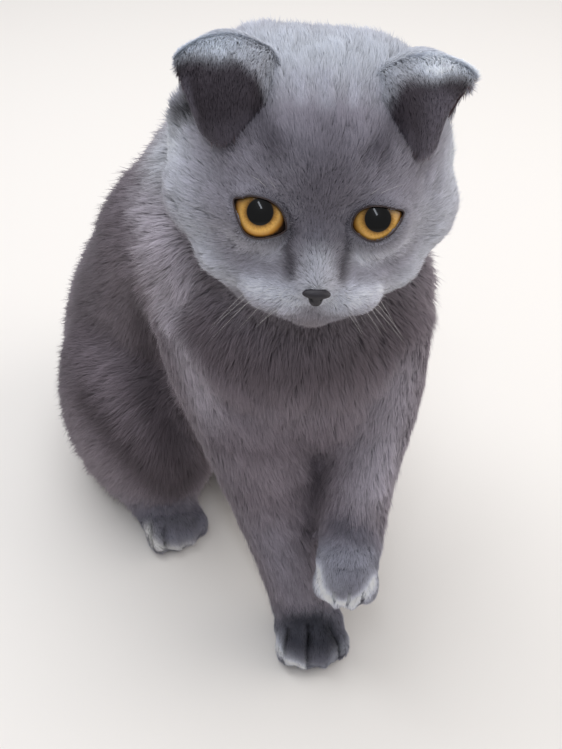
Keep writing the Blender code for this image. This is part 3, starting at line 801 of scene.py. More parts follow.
@dataclass(frozen=True)
class NoseLeather:
    """Bare nose skin: slate-coloured leather with fine pebbles, slightly moist.

    The pebbles break up a dull gloss.

    Attributes:
        colour: The lighter tone of the leather.
        dark: The darker one.
        pebble_mm: The width of a pebble, in millimetres.
    """

    colour: str = "26222a"
    dark: str = "1b181d"
    pebble_mm: float = 0.3

    def material(self) -> bpy.types.Material:
        """The nose's material, whose points carry the painted shade in the nostrils.

        Returns:
            The material.
        """
        material, tree = new_material("slate_nose_leather")
        place = add_node(tree, "ShaderNodeTexCoord")
        cells = add_node(
            tree, "ShaderNodeTexVoronoi", {"feature": "DISTANCE_TO_EDGE"},
            {"Vector": place.outputs["Object"], "Scale": 1000 / self.pebble_mm},
        )
        tone = add_node(
            tree, "ShaderNodeTexNoise", None,
            {"Vector": place.outputs["Object"], "Scale": 600.0, "Detail": 3.0},
        )
        shade = add_node(
            tree, "ShaderNodeMix", {"data_type": "RGBA"},
            {"Factor": tone.outputs["Fac"], 6: (*linear(self.dark), 1.0), 7: (*linear(self.colour), 1.0)},
        )
        bump = add_node(
            tree, "ShaderNodeBump", None,
            {"Strength": 0.5, "Distance": 0.0001, "Height": cells.outputs["Distance"]},
        )
        # Painted shade in the nostrils, stored on the nose's points.
        depth = add_node(tree, "ShaderNodeAttribute", {"attribute_name": COAT_COLOUR})
        sunk = add_node(
            tree, "ShaderNodeVectorMath", {"operation": "MULTIPLY"},
            {0: shade.outputs[2], 1: depth.outputs["Color"]},
        )
        shader = add_node(
            tree, "ShaderNodeBsdfPrincipled", None,
            {"Base Color": sunk.outputs["Vector"], "Roughness": 0.5, "IOR": 1.45, "Coat Weight": 0.15,
             "Coat Roughness": 0.35, "Normal": bump.outputs["Normal"]},
        )
        add_node(tree, "ShaderNodeOutputMaterial", None, {"Surface": shader.outputs["BSDF"]})
        return material


@dataclass(frozen=True)
class MottledFinish:
    """A smooth finish whose colour wanders a little between two tones, so that it looks grown.

    Attributes:
        name: The material's name.
        first: One tone.
        second: The other.
        scale: How fine the wandering is, in waves for each metre.
        roughness: How dull the surface is.
        ior: Its index of refraction.
    """

    name: str
    first: str
    second: str
    scale: float
    roughness: float
    ior: float

    def material(self) -> bpy.types.Material:
        """Makes the material.

        Returns:
            The material.
        """
        material, tree = new_material(self.name)
        place = add_node(tree, "ShaderNodeTexCoord")
        tone = add_node(
            tree, "ShaderNodeTexNoise", None, {"Vector": place.outputs["Object"], "Scale": self.scale}
        )
        shade = add_node(
            tree, "ShaderNodeMix", {"data_type": "RGBA"},
            {"Factor": tone.outputs["Fac"], 6: (*linear(self.first), 1.0), 7: (*linear(self.second), 1.0)},
        )
        shader = add_node(
            tree, "ShaderNodeBsdfPrincipled", None,
            {"Base Color": shade.outputs[2], "Roughness": self.roughness, "IOR": self.ior},
        )
        add_node(tree, "ShaderNodeOutputMaterial", None, {"Surface": shader.outputs["BSDF"]})
        return material


@dataclass(frozen=True)
class LidSkin(MottledFinish):
    """The bare, nearly black edge of the eyelids, kept moist, so that it draws a soft dark line."""

    name: str = "lid_edge_skin"
    first: str = "2c2324"
    second: str = "4a3c3a"
    scale: float = 900.0
    roughness: float = 0.42
    ior: float = 1.4


@dataclass(frozen=True)
class WhiskerKeratin(MottledFinish):
    """Stiff white whisker hair: clear keratin that is smooth and a little glossy."""

    name: str = "whisker_keratin"
    first: str = "cfccca"
    second: str = "e9e7e4"
    scale: float = 200.0
    roughness: float = 0.3
    ior: float = 1.55


@dataclass(frozen=True)
class StudioPaper:
    """Plain matt paper for the floor, which throws soft light back on the belly."""

    colour: str = "e6e2dc"

    def material(self) -> bpy.types.Material:
        """The floor's material.

        Returns:
            The material.
        """
        material, tree = new_material("studio_paper")
        shader = add_node(
            tree, "ShaderNodeBsdfPrincipled", None,
            {"Base Color": (*linear(self.colour), 1.0), "Roughness": 0.9, "Specular IOR Level": 0.1},
        )
        add_node(tree, "ShaderNodeOutputMaterial", None, {"Surface": shader.outputs["BSDF"]})
        return material


def relaxed(values: np.ndarray, edges: np.ndarray, rounds: int, factor: float = 0.5) -> np.ndarray:
    """Evens out values over a mesh by moving each towards its neighbours' mean.

    Args:
        values: One row for each point.
        edges: Pairs of point numbers.
        rounds: How many times it is done.
        factor: How far each round goes towards the mean.

    Returns:
        The evened values.
    """
    values = np.array(values, float)
    flat = values.reshape(len(values), -1)
    first, second = edges[:, 0], edges[:, 1]
    count = np.maximum(np.bincount(edges.ravel(), minlength=len(flat)), 1)
    for _ in range(rounds):
        for column in range(flat.shape[1]):
            line = flat[:, column]
            total = np.bincount(first, line[second], len(line)) + np.bincount(second, line[first], len(line))
            flat[:, column] = line + factor * (total / count - line)
    return flat.reshape(values.shape)


def point_normals(places: np.ndarray, triangles: np.ndarray) -> np.ndarray:
    """The unit normal at each point of a triangle mesh, weighted by area.

    Args:
        places: The points.
        triangles: The point numbers of each triangle.

    Returns:
        One normal for each point.
    """
    corners = places[triangles]
    faces = np.cross(corners[:, 1] - corners[:, 0], corners[:, 2] - corners[:, 0])
    normals = np.zeros_like(places)
    for column in range(3):
        for corner in range(3):
            normals[:, column] += np.bincount(triangles[:, corner], faces[:, column], len(places))
    return unit(normals)


def laid(vectors: np.ndarray, normals: np.ndarray) -> np.ndarray:
    """The vectors laid into the surface that has the normals, at length one."""
    return unit(vectors - normals * np.sum(vectors * normals, axis=1, keepdims=True))


def mesh_triangles(mesh: bpy.types.Mesh) -> tuple[np.ndarray, np.ndarray]:
    """Reads the triangles of a mesh.

    Args:
        mesh: The mesh.

    Returns:
        The triangles as point numbers and as corner numbers.
    """
    mesh.calc_loop_triangles()
    points = np.empty(len(mesh.loop_triangles) * 3, np.int32)
    loops = np.empty_like(points)
    mesh.loop_triangles.foreach_get("vertices", points)
    mesh.loop_triangles.foreach_get("loops", loops)
    return points.reshape(-1, 3), loops.reshape(-1, 3)


def mesh_places(mesh: bpy.types.Mesh) -> np.ndarray:
    """Reads the places of a mesh's points, in its own units.

    Args:
        mesh: The mesh.

    Returns:
        One row for each point.
    """
    places = np.empty(len(mesh.vertices) * 3, np.float32)
    mesh.vertices.foreach_get("co", places)
    return places.reshape(-1, 3).astype(float)


def new_object(name: str, mesh: bpy.types.Mesh) -> bpy.types.Object:
    """Makes an object and links it to the scene.

    Args:
        name: Its name.
        mesh: Its mesh.

    Returns:
        The object.
    """
    made = bpy.data.objects.new(name, mesh)
    bpy.context.scene.collection.objects.link(made)
    return made


def mesh_from(name: str, places: np.ndarray, faces: list | np.ndarray) -> bpy.types.Mesh:
    """Makes a smoothly shaded mesh.

    Args:
        name: Its name.
        places: Its points, in metres.
        faces: Its faces as point numbers.

    Returns:
        The mesh.
    """
    mesh = bpy.data.meshes.new(name)
    mesh.from_pydata(np.asarray(places).tolist(), [], [list(map(int, face)) for face in faces])
    mesh.shade_smooth()
    return mesh


@dataclass
class SculptFrame:
    """The move from the sculpting frame, in centimetres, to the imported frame, in metres.

    Attributes:
        nodes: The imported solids' objects, by the names of their nodes.
        shift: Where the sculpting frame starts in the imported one, in metres.
    """

    nodes: dict
    shift: np.ndarray

    @classmethod
    def from_solids(cls, nodes: dict) -> SculptFrame:
        """Reads the move from where the solids' eyes are.

        Args:
            nodes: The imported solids' objects, by the names of their nodes.

        Returns:
            The frame.
        """
        moves = []
        for side, node in ((Side.LEFT, "eye_left"), (Side.RIGHT, "eye_right")):
            low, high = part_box(node)
            middle = (np.array(low) + np.array(high)) / 2
            moves.append(middle - HEAD.outwards(HEAD.eye_centre(side)) * CM)
        return cls(nodes, np.mean(moves, axis=0))

    def metres(self, places: np.ndarray) -> np.ndarray:
        """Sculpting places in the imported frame."""
        return np.asarray(places, float) * CM + self.shift

    def sculpted(self, places: np.ndarray) -> np.ndarray:
        """Packed places in the sculpting frame."""
        return (np.asarray(places, float) - self.shift) / CM


@dataclass
class Surface:
    """The skin as arrays.

    Attributes:
        places: The points, in the sculpting frame.
        triangles: The point numbers of each triangle.
        corners: The corner numbers of each triangle, which lead to its places on the map.
        normals: The points' normals.
        lie: The way the hair points at each point.
        coat: The values of the coat at each point, as a CoatZone has them.
        colours: The coat's colour at each point, in linear light.
        group: The number of the coat piece that each point is in.
        uv: The place of each corner on the map.
    """

    places: np.ndarray
    triangles: np.ndarray
    corners: np.ndarray
    normals: np.ndarray
    lie: np.ndarray
    coat: np.ndarray
    colours: np.ndarray
    group: np.ndarray
    uv: np.ndarray


@dataclass
class Skin:
    """The one skin under the coat, melted from the solids of flesh and drawn in by the coat's depth.

    Attributes:
        frame: The sculpting frame.
        fur: The coat's finish.
        voxel: The grain of the melting, in centimetres.
        grow: How far the solids are swollen so that their cuts close, in centimetres.
        lowest: How far the skin stays above the floor, in centimetres.
        face_end: How far back in the head's frame the face goes over into the crown.
        nodes: The solids of flesh.
    """

    frame: SculptFrame
    fur: BlueCoat
    voxel: float = 0.146
    grow: float = 0.045
    lowest: float = 0.03
    face_end: float = -0.9
    nodes: tuple[str, ...] = tuple(ZONES)

    def build(self) -> tuple[bpy.types.Object, Surface]:
        """Makes the skin's object and its arrays.

        Returns:
            The object and the surface that the tufts are rooted in.
        """
        mesh = self.refined(self.melted())
        places = self.frame.sculpted(mesh_places(mesh))
        triangles, _ = mesh_triangles(mesh)
        edges = self.edges_of(mesh)
        weights = self.part_weights(places, edges)
        places = self.firmed(places, edges)
        normals = unit(relaxed(point_normals(places, triangles), edges, 6))
        places = self.mounded(places, normals)
        in_head = HEAD.inwards(places)
        headness = weights[:, self.nodes.index("head")]
        coat = weights @ np.array([ZONES[node].row() for node in self.nodes])
        coat = self.face_coat(coat, in_head, headness)
        lie = self.lie_of_coat(places, in_head, weights, normals, edges)
        places = places - normals * (self.grow + coat[:, :1] * MM)
        places = self.eased(self.socketed(places, coat), edges)
        places, shade = self.grooved(places, normals, coat, headness)
        places[:, 2] = np.maximum(places[:, 2], self.lowest)
        tips = places + normals * coat[:, :1] * MM
        points = {
            "places": places,
            "lie": lie,
            "coat": coat,
            "colours": self.colours_of(tips, relaxed(weights, edges, 90)) * shade[:, None],
            "group": self.groups_of(places, in_head, weights),
        }
        faces = [list(polygon.vertices) for polygon in mesh.polygons]
        for ear in EARS:
            faces += (ear.faces() + len(points["places"])).tolist()
            shell = ear.build(self.fur)
            points = {name: np.concatenate((values, shell[name])) for name, values in points.items()}
        return self.made_from(points, faces)

    def made_from(self, points: dict[str, np.ndarray], faces: list) -> tuple[bpy.types.Object, Surface]:
        """Makes the skin's object, and reads its triangles and its map back.

        Args:
            points: The arrays of the surface that have one row a point.
            faces: The faces as point numbers.

        Returns:
            The object and the surface.
        """
        places = points["places"]
        mesh = mesh_from("skin", self.frame.metres(places), faces)
        skin = new_object("skin", mesh)
        paint(mesh, points["colours"] * self.fur.undercoat_shade)
        unwrap(skin)
        mesh.materials.append(self.fur.skin_material())
        triangles, corners = mesh_triangles(mesh)
        uv = np.empty(len(mesh.loops) * 2, np.float32)
        mesh.uv_layers[BAKE_MAP].data.foreach_get("uv", uv)
        normals = point_normals(places, triangles)
        points["lie"] = laid(points["lie"], normals)
        surface = Surface(
            triangles=triangles, corners=corners, normals=normals, uv=uv.reshape(-1, 2), **points
        )
        return skin, surface

    def melted(self) -> bpy.types.Mesh:
        """Melts the solids of flesh, the eyes and the nose into one closed form.

        Returns:
            The mesh, in metres.
        """
        form = bmesh.new()
        for node in (*self.nodes, "eye_left", "eye_right", "nose"):
            part = bmesh.new()
            part.from_mesh(self.frame.nodes[node].data)
            bmesh.ops.remove_doubles(part, verts=part.verts, dist=1e-6)
            part.normal_update()
            moved = [vertex.co + vertex.normal * (self.grow * CM) for vertex in part.verts]
            for vertex, place in zip(part.verts, moved):
                vertex.co = place
            scratch = bpy.data.meshes.new("part")
            part.to_mesh(scratch)
            part.free()
            form.from_mesh(scratch)
            bpy.data.meshes.remove(scratch)
        joined = bpy.data.meshes.new("joined")
        form.to_mesh(joined)
        form.free()
        made = new_object("melting", joined)
        remesh = made.modifiers.new("Remesh", "REMESH")
        remesh.mode = "VOXEL"
        remesh.voxel_size = self.voxel * CM
        mesh = bpy.data.meshes.new_from_object(made.evaluated_get(bpy.context.evaluated_depsgraph_get()))
        bpy.data.objects.remove(made)
        bpy.data.meshes.remove(joined)
        return mesh

    def refined(self, mesh: bpy.types.Mesh) -> bpy.types.Mesh:
        """Drops sealed scraps, and divides the mesh finely round the eyes, muzzle and paws.

        Args:
            mesh: The melted mesh, which is changed.

        Returns:
            The same mesh.
        """
        form = bmesh.new()
        form.from_mesh(mesh)
        waiting, largest = set(form.verts), []
        while waiting:
            front = [waiting.pop()]
            group = list(front)
            while front:
                for edge in front.pop().link_edges:
                    for vertex in edge.verts:
                        if vertex in waiting:
                            waiting.remove(vertex)
                            front.append(vertex)
                            group.append(vertex)
            if len(group) > len(largest):
                largest, group = group, largest
            if group:
                bmesh.ops.delete(form, geom=group, context="VERTS")
        eyes = [HEAD.outwards(HEAD.eye_centre(side)) for side in Side]
        muzzle = [HEAD.outwards((x, -3.7, -1.7)) for x in (-0.9, 0.0, 0.9)]
        paws = [(0.96, -5.4, 0.8), (2.05, -5.5, 4.2), (-4.2, -0.6, 0.6)]
        toes = [(x, -5.6, 1.0) for x in (0.1, 0.9, 1.75)]
        for middles, reach in ((eyes, 1.3), (eyes, 1.12), (muzzle, 1.0), (paws, 1.4), (toes, 0.8)):
            self.divide_near(form, middles, reach)
        bmesh.ops.triangulate(form, faces=[face for face in form.faces if len(face.verts) > 4])
        form.to_mesh(mesh)
        form.free()
        return mesh

    def divide_near(self, form: bmesh.types.BMesh, middles: list, reach: float) -> None:
        """Halves the edges that lie within reach of any of the middles.

        Args:
            form: The mesh, in metres.
            middles: Places in the sculpting frame.
            reach: How far from a middle both ends may lie, in centimetres.
        """
        spots = [Vector(self.frame.metres(middle)) for middle in middles]
        near = [
            edge
            for edge in form.edges
            if any(all((vertex.co - spot).length < reach * CM for vertex in edge.verts) for spot in spots)
        ]
        bmesh.ops.subdivide_edges(form, edges=near, cuts=1, use_grid_fill=True)

    @staticmethod
    def edges_of(mesh: bpy.types.Mesh) -> np.ndarray:
        """Reads a mesh's edges.

        Args:
            mesh: The mesh.

        Returns:
            Pairs of point numbers.
        """
        edges = np.empty(len(mesh.edges) * 2, np.int32)
        mesh.edges.foreach_get("vertices", edges)
        return edges.reshape(-1, 2)

    @staticmethod
    def mounded(places: np.ndarray, normals: np.ndarray) -> np.ndarray:
        """Raises the form at the feet of the ears.

        Args:
            places: The points in the sculpting frame.
            normals: Their normals.

        Returns:
            The moved points.
        """
        for place, reach, height in MOUNDS:
            near = np.exp(-((np.linalg.norm(HEAD.inwards(places) - np.array(place), axis=1) / reach) ** 2))
            places = places + normals * (near * height)[:, None]
        return places

    def part_weights(self, places: np.ndarray, edges: np.ndarray) -> np.ndarray:
        """How much each point belongs to each part of the body, with soft borders.

        Args:
            places: The points in the sculpting frame.
            edges: The mesh's edges.

        Returns:
            One row for each point, with one share for each of the nodes.
        """
        points, faces, owner = [], [], []
        for number, node in enumerate(self.nodes):
            mesh = self.frame.nodes[node].data
            triangles, _ = mesh_triangles(mesh)
            base = sum(map(len, points))
            points.append(self.frame.sculpted(mesh_places(mesh)))
            faces += (triangles + base).tolist()
            owner += [number] * len(triangles)
        tree = BVHTree.FromPolygons(np.concatenate(points).tolist(), faces)
        weights = np.zeros((len(places), len(self.nodes)))
        for row, place in enumerate(places.tolist()):
            weights[row, owner[tree.find_nearest(place)[2]]] = 1.0
        return relaxed(weights, edges, 24)

    @staticmethod
    def firmed(places: np.ndarray, edges: np.ndarray) -> np.ndarray:
        """Smooths the voxel steps away without shrinking the form.

        Args:
            places: The points.
            edges: The mesh's edges.

        Returns:
            The moved points.
        """
        for _ in range(8):
            places = relaxed(places, edges, 1, 0.5)
            places = relaxed(places, edges, 1, -0.52)
        return places

    @staticmethod
    def face_coat(coat: np.ndarray, in_head: np.ndarray, headness: np.ndarray) -> np.ndarray:
        """Shortens the coat over the face: least on the cheeks, most on the bridge, lids and muzzle.

        Args:
            coat: The coat's values at each point.
            in_head: The points in the head's frame.
            headness: How far each point belongs to the head.

        Returns:
            The new values.
        """
        front = headness * ramp(0.6, -2.2, in_head[:, 1])
        coat = coat + (np.array(FACE_ZONE.row()) - coat) * front[:, None]
        for line, reach, zone in FACE_SPOTS:
            hardness = 2 if len(line) == 1 else 4
            cover = headness * np.exp(-((line_distance(in_head, line) / reach) ** hardness))
            coat = coat + (np.array(zone.row()) - coat) * cover[:, None]
        return coat

    def lie_of_coat(
        self, places: np.ndarray, in_head: np.ndarray, weights: np.ndarray, normals: np.ndarray,
        edges: np.ndarray,
    ) -> np.ndarray:
        """The way the hair points at each place: back from the nose, down the chest, along limbs and tail.

        Args:
            places: The points in the sculpting frame.
            in_head: The same points in the head's frame.
            weights: Their shares in the parts of the body.
            normals: Their normals.
            edges: The mesh's edges.

        Returns:
            A unit vector in the surface for each point.
        """
        from_nose = unit(in_head - np.array((0.0, -4.3, -0.9))) @ HEAD.turn().T
        # Down the front of the trunk, back over its sides, and away from the throat over the breast.
        down = np.array((0.0, 0.0, -1.0))
        ahead = np.array((math.sin(BODY_TURN), -math.cos(BODY_TURN), 0.0))
        back = unit(np.array((-0.5, 0.87, -0.7)))
        facing = ramp(-0.1, 0.75, unit(normals * (1, 1, 0)) @ ahead)[:, None]
        trunk = unit(back * (1 - facing) + down * facing)
        throat = unit(places - np.array((0.9, -1.5, 13.2)))
        breast = ramp(5.5, 0.5, np.linalg.norm(places - np.array((0.9, -2.0, 11.5)), axis=1))[:, None]
        trunk = unit(trunk + throat * breast * 0.8)
        hindfoot = unit(ahead + down * 0.3)
        tail = self.along_tail(places)
        flows = {
            "head": from_nose,
            "neck": trunk,
            "torso": trunk,
            "foreleg_right": unit(np.array((0.25, -0.42, -0.87))),
            "foreleg_left": unit(np.array((-0.1, -0.62, -0.78))),
            "forepaw_right": unit(np.array((0.1, -0.9, -0.43))),
            "forepaw_left": unit(np.array((-0.05, -0.55, -0.83))),
            "thigh_right": unit(np.array((-0.4, 0.55, -0.72))),
            "thigh_left": unit(np.array((-0.2, 0.55, -0.72))),
            "hindfoot_right": hindfoot,
            "hindfoot_left": hindfoot,
            "tail_base": tail,
            "tail_middle": tail,
            "tail_tip": tail,
        }
        lie = np.zeros_like(places)
        for number, node in enumerate(self.nodes):
            lie += flows[node] * weights[:, number : number + 1]
        for _ in range(4):
            lie = relaxed(laid(lie, normals), edges, 3)
        # Below and beside each eye the hair points away from it.
        for side in Side:
            local = (in_head - HEAD.eye_centre(side)) @ HEAD.gaze(side).T
            away = unit(local * (1, 1, 0)) @ HEAD.gaze(side) @ HEAD.turn().T
            near = np.exp(-((np.maximum(np.linalg.norm(local, axis=1) - 0.9, 0) / 0.7) ** 2))
            share = (0.6 * near * ramp(0.25, -0.3, local[:, 1] - 0.5 * np.maximum(local[:, 0], 0)))[:, None]
            lie = lie * (1 - share) + away * share
        return laid(lie, normals)

    @staticmethod
    def along_tail(places: np.ndarray) -> np.ndarray:
        """The direction of the tail, from root to tip.

        Args:
            places: Places in the sculpting frame.

        Returns:
            One unit vector for each place.
        """
        line = np.array(TAIL_LINE)
        flow = np.zeros_like(places)
        for start, end in zip(line, line[1:]):
            distance = np.linalg.norm(places - (start + end) / 2, axis=1, keepdims=True)
            flow += unit(end - start) * np.exp(-((distance / 1.6) ** 2))
        return unit(flow + 1e-6)

    @staticmethod
    def lid_offset(places: np.ndarray, side: Side) -> tuple[np.ndarray, np.ndarray, np.ndarray]:
        """Where places lie around an eye.

        Args:
            places: Places in the sculpting frame.
            side: The eye.

        Returns:
            Their vectors from the eye's middle in the gaze's frame, those vectors' lengths, and how far
            each lies outside the line of the lids, less than nothing inside the opening.
        """
        local = (HEAD.inwards(places) - HEAD.eye_centre(side)) @ HEAD.gaze(side).T
        reach = np.linalg.norm(local, axis=1)
        # Places nearer than the ball's skin are first moved out to it.
        flat = local[:, :2] * np.maximum(LID_RADIUS / np.maximum(reach, 1e-6), 1.0)[:, None]
        outline = closed_curve(LID_LINES[side], 72)
        offset = np.full(len(places), 9.0)
        inside = np.zeros(len(places), bool)
        near = (reach < 2.4) & (local[:, 2] > -0.4)
        points = flat[near]
        distance = np.full(len(points), 9.0)
        within = np.zeros(len(points), bool)
        for start, end in zip(outline, np.roll(outline, -1, axis=0)):
            along = end - start
            share = np.clip((points - start) @ along / (along @ along), 0, 1)
            distance = np.minimum(distance, np.linalg.norm(points - start - share[:, None] * along, axis=1))
            crosses = (start[1] > points[:, 1]) != (end[1] > points[:, 1])
            level = start[0] + (points[:, 1] - start[1]) / (end[1] - start[1] + 1e-12) * along[0]
            within ^= crosses & (points[:, 0] < level)
        offset[near] = distance
        inside[near] = within & (local[near, 2] > 0)
        return local, reach, np.where(inside, -offset, offset)

    def socketed(self, places: np.ndarray, coat: np.ndarray) -> np.ndarray:
        """Sinks the skin behind each eyeball inside its lids, and lays the lids over the ball.

        Args:
            places: The points in the sculpting frame.
            coat: The coat's values, which are cleared in the opening and shortened round it.

        Returns:
            The moved points.
        """
        places = places.copy()
        for side in Side:
            local, reach, offset = self.lid_offset(places, side)
            ahead = local[:, 2]
            over = (ahead > 0) & (reach < 1.6)
            # The lids' outer face, thicker away from their edge.
            lid = 0.885 + 0.035 * ramp(0, 0.12, offset)
            across = np.sum(local[:, :2] ** 2, axis=1)
            level = np.sqrt(np.maximum(lid**2 - across, 0.03))
            moved = ahead + (level - ahead) * ramp(0.75, 0.02, offset) * ramp(0.0, 0.3, ahead)
            moved = np.where((across < 0.77) & (reach < 1.1), np.maximum(moved, level), moved)
            # Inside the opening the skin lies behind the ball's face.
            moved = np.where(offset < 0, np.sqrt(np.maximum(0.5 - across, 0.0)), moved)
            local[:, 2] = np.where(over, moved, ahead)
            back = HEAD.outwards(local @ HEAD.gaze(side) + HEAD.eye_centre(side))
            places = np.where(over[:, None], back, places)
            coat[:, 3] = np.where(over & (offset < 0.03), 0.0, coat[:, 3])
            close = over & (offset < 0.35)
            trimmed = coat[:, 1] * (0.45 + 0.55 * ramp(0.0, 0.35, offset))
            coat[:, 1] = np.where(close, trimmed, coat[:, 1])
        return places

    def eased(self, places: np.ndarray, edges: np.ndarray) -> np.ndarray:
        """Evens the skin round the lids, so that the socket leaves no ring.

        Args:
            places: The points in the sculpting frame.
            edges: The mesh's edges.

        Returns:
            The moved points.
        """
        share = np.zeros(len(places))
        for side in Side:
            local, _, offset = self.lid_offset(places, side)
            ahead = ramp(-0.2, 0.2, local[:, 2])
            share = np.maximum(share, ramp(0.06, 0.3, offset) * ramp(1.5, 1.0, offset) * ahead)
        for _ in range(8):
            places = places + (relaxed(places, edges, 6) - places) * share[:, None]
        return places

    @staticmethod
    def grooved(
        places: np.ndarray, normals: np.ndarray, coat: np.ndarray, headness: np.ndarray
    ) -> tuple[np.ndarray, np.ndarray]:
        """Presses the lips and the gaps between the toes into the skin, with painted shade along them, and
        bares the nose's place.

        Args:
            places: The skin's points.
            normals: Their normals.
            coat: The coat's values, which are shortened along the lines.
            headness: How far each point belongs to the head.

        Returns:
            The moved points, and the share of light that the coat keeps at each.
        """
        in_head = HEAD.inwards(places)
        sunk, shade = np.zeros(len(places)), np.ones(len(places))
        for groove in GROOVES:
            press = groove.press(in_head, places)
            if groove.space is Space.HEAD:
                press = press * headness * (in_head[:, 1] < -2.6)
            sunk = np.maximum(sunk, press * groove.depth)
            # Painted shade along the groove.
            shade *= 1 - groove.dark * press
            coat[:, 1] *= 1 - 0.5 * press
            coat[:, 3] = np.where(press > 0.62, 0.0, coat[:, 3])
        # No tufts stand on the nose leather.
        nose = line_distance(in_head, ((-0.16, -4.1, -1.1), (0.16, -4.1, -1.1), (0.0, -4.15, -1.32)))
        coat[:, 3] = np.where(nose < 0.09, 0.0, coat[:, 3])
        return places - normals * sunk[:, None], shade

    def colours_of(self, places: np.ndarray, weights: np.ndarray) -> np.ndarray:
        """The coat's colours: the parts' ground colours under the markings and painted light and shade.

        Args:
            places: Where the tips of the coat are, in the sculpting frame.
            weights: Their shares in the parts of the body.

        Returns:
            One colour for each place, in linear light.
        """
        fur = self.fur
        ground = {"head": fur.head, "forepaw": fur.feet, "hindfoot": fur.feet, "tail": fur.tail}
        rows = np.array([linear(ground.get(node.split("_")[0], fur.body)) for node in self.nodes])
        return with_markings_and_painted_light(weights @ rows, places)

    def groups_of(self, places: np.ndarray, in_head: np.ndarray, weights: np.ndarray) -> np.ndarray:
        """Shares the points out among the coat pieces.

        Args:
            places: The points in the sculpting frame.
            in_head: The same points in the head's frame.
            weights: Their shares in the parts of the body.

        Returns:
            For each point the number of its piece in GROUPS.
        """
        part = np.argmax(weights, axis=1)
        across = (places[:, :2] - np.array(HIPS[:2])) @ np.array((math.cos(BODY_TURN), math.sin(BODY_TURN)))
        limbs = {"foreleg": "foreleg", "forepaw": "foreleg", "thigh": "hindleg", "hindfoot": "hindleg"}
        group = np.zeros(len(places), int)
        for number, node in enumerate(self.nodes):
            mine = part == number
            kind, _, side = node.partition("_")
            if kind == "head":
                group[mine & (in_head[:, 1] < self.face_end)] = GROUPS.index("face")
                group[mine & (in_head[:, 1] >= self.face_end)] = GROUPS.index("crown")
            elif kind == "torso":
                group[mine & (across > 0)] = GROUPS.index("trunk_left")
                group[mine & (across <= 0)] = GROUPS.index("trunk_right")
            elif kind in limbs:
                group[mine] = GROUPS.index(f"{limbs[kind]}_{side}")
            else:
                group[mine] = GROUPS.index(kind)
        return group


def with_markings_and_painted_light(colours: np.ndarray, places: np.ndarray) -> np.ndarray:
    """Lays the coat's markings and painted light and shade over its ground colours.

    Args:
        colours: The ground colour at each place, in linear light.
        places: The places in the sculpting frame.

    Returns:
        The new colours.
    """
    in_head = HEAD.inwards(places)
    # Markings and painted light of the head end at the throat.
    on_head = ramp(11.2, 12.4, places[:, 2])[:, None]
    for laid_tone in MARKINGS_AND_PAINTED_LIGHT:
        cover = laid_tone.cover(in_head, places)[:, None]
        if laid_tone.space is Space.HEAD:
            cover = cover * on_head
        colours = colours + (np.array(linear(laid_tone.colour)) - colours) * cover
    return colours


def paint(mesh: bpy.types.Mesh, colours: np.ndarray) -> None:
    """Stores one colour a point on the mesh.

    Args:
        mesh: The mesh.
        colours: The colours, in linear light.
    """
    layer = mesh.color_attributes.new(COAT_COLOUR, "FLOAT_COLOR", "POINT")
    rows = np.ones((len(colours), 4), np.float32)
    rows[:, :3] = colours
    layer.data.foreach_set("color", rows.ravel())


def unwrap(made: bpy.types.Object) -> None:
    """Unwraps an object by the way its faces look, into the surface map.

    Args:
        made: The object, in the scene.
    """
    made.data.uv_layers.new(name=BAKE_MAP)
    bpy.ops.object.select_all(action="DESELECT")
    made.select_set(True)
    bpy.context.view_layer.objects.active = made
    bpy.ops.object.mode_set(mode="EDIT")
    bpy.ops.mesh.select_all(action="SELECT")
    bpy.ops.uv.smart_project(angle_limit=math.radians(66), island_margin=0.002)
    bpy.ops.object.mode_set(mode="OBJECT")


# Where an ear grows from the skull, and the inner edge of its apron, each with a control place between.
EAR_ROOT = ((1.4, 0.15, 3.0), (2.8, 2.8, 2.3), (3.55, 0.5, 1.3))
EAR_APRON = ((0.85, 1.2, 3.0), (0.85, -0.5, 3.35), (1.5, -1.6, 1.7))


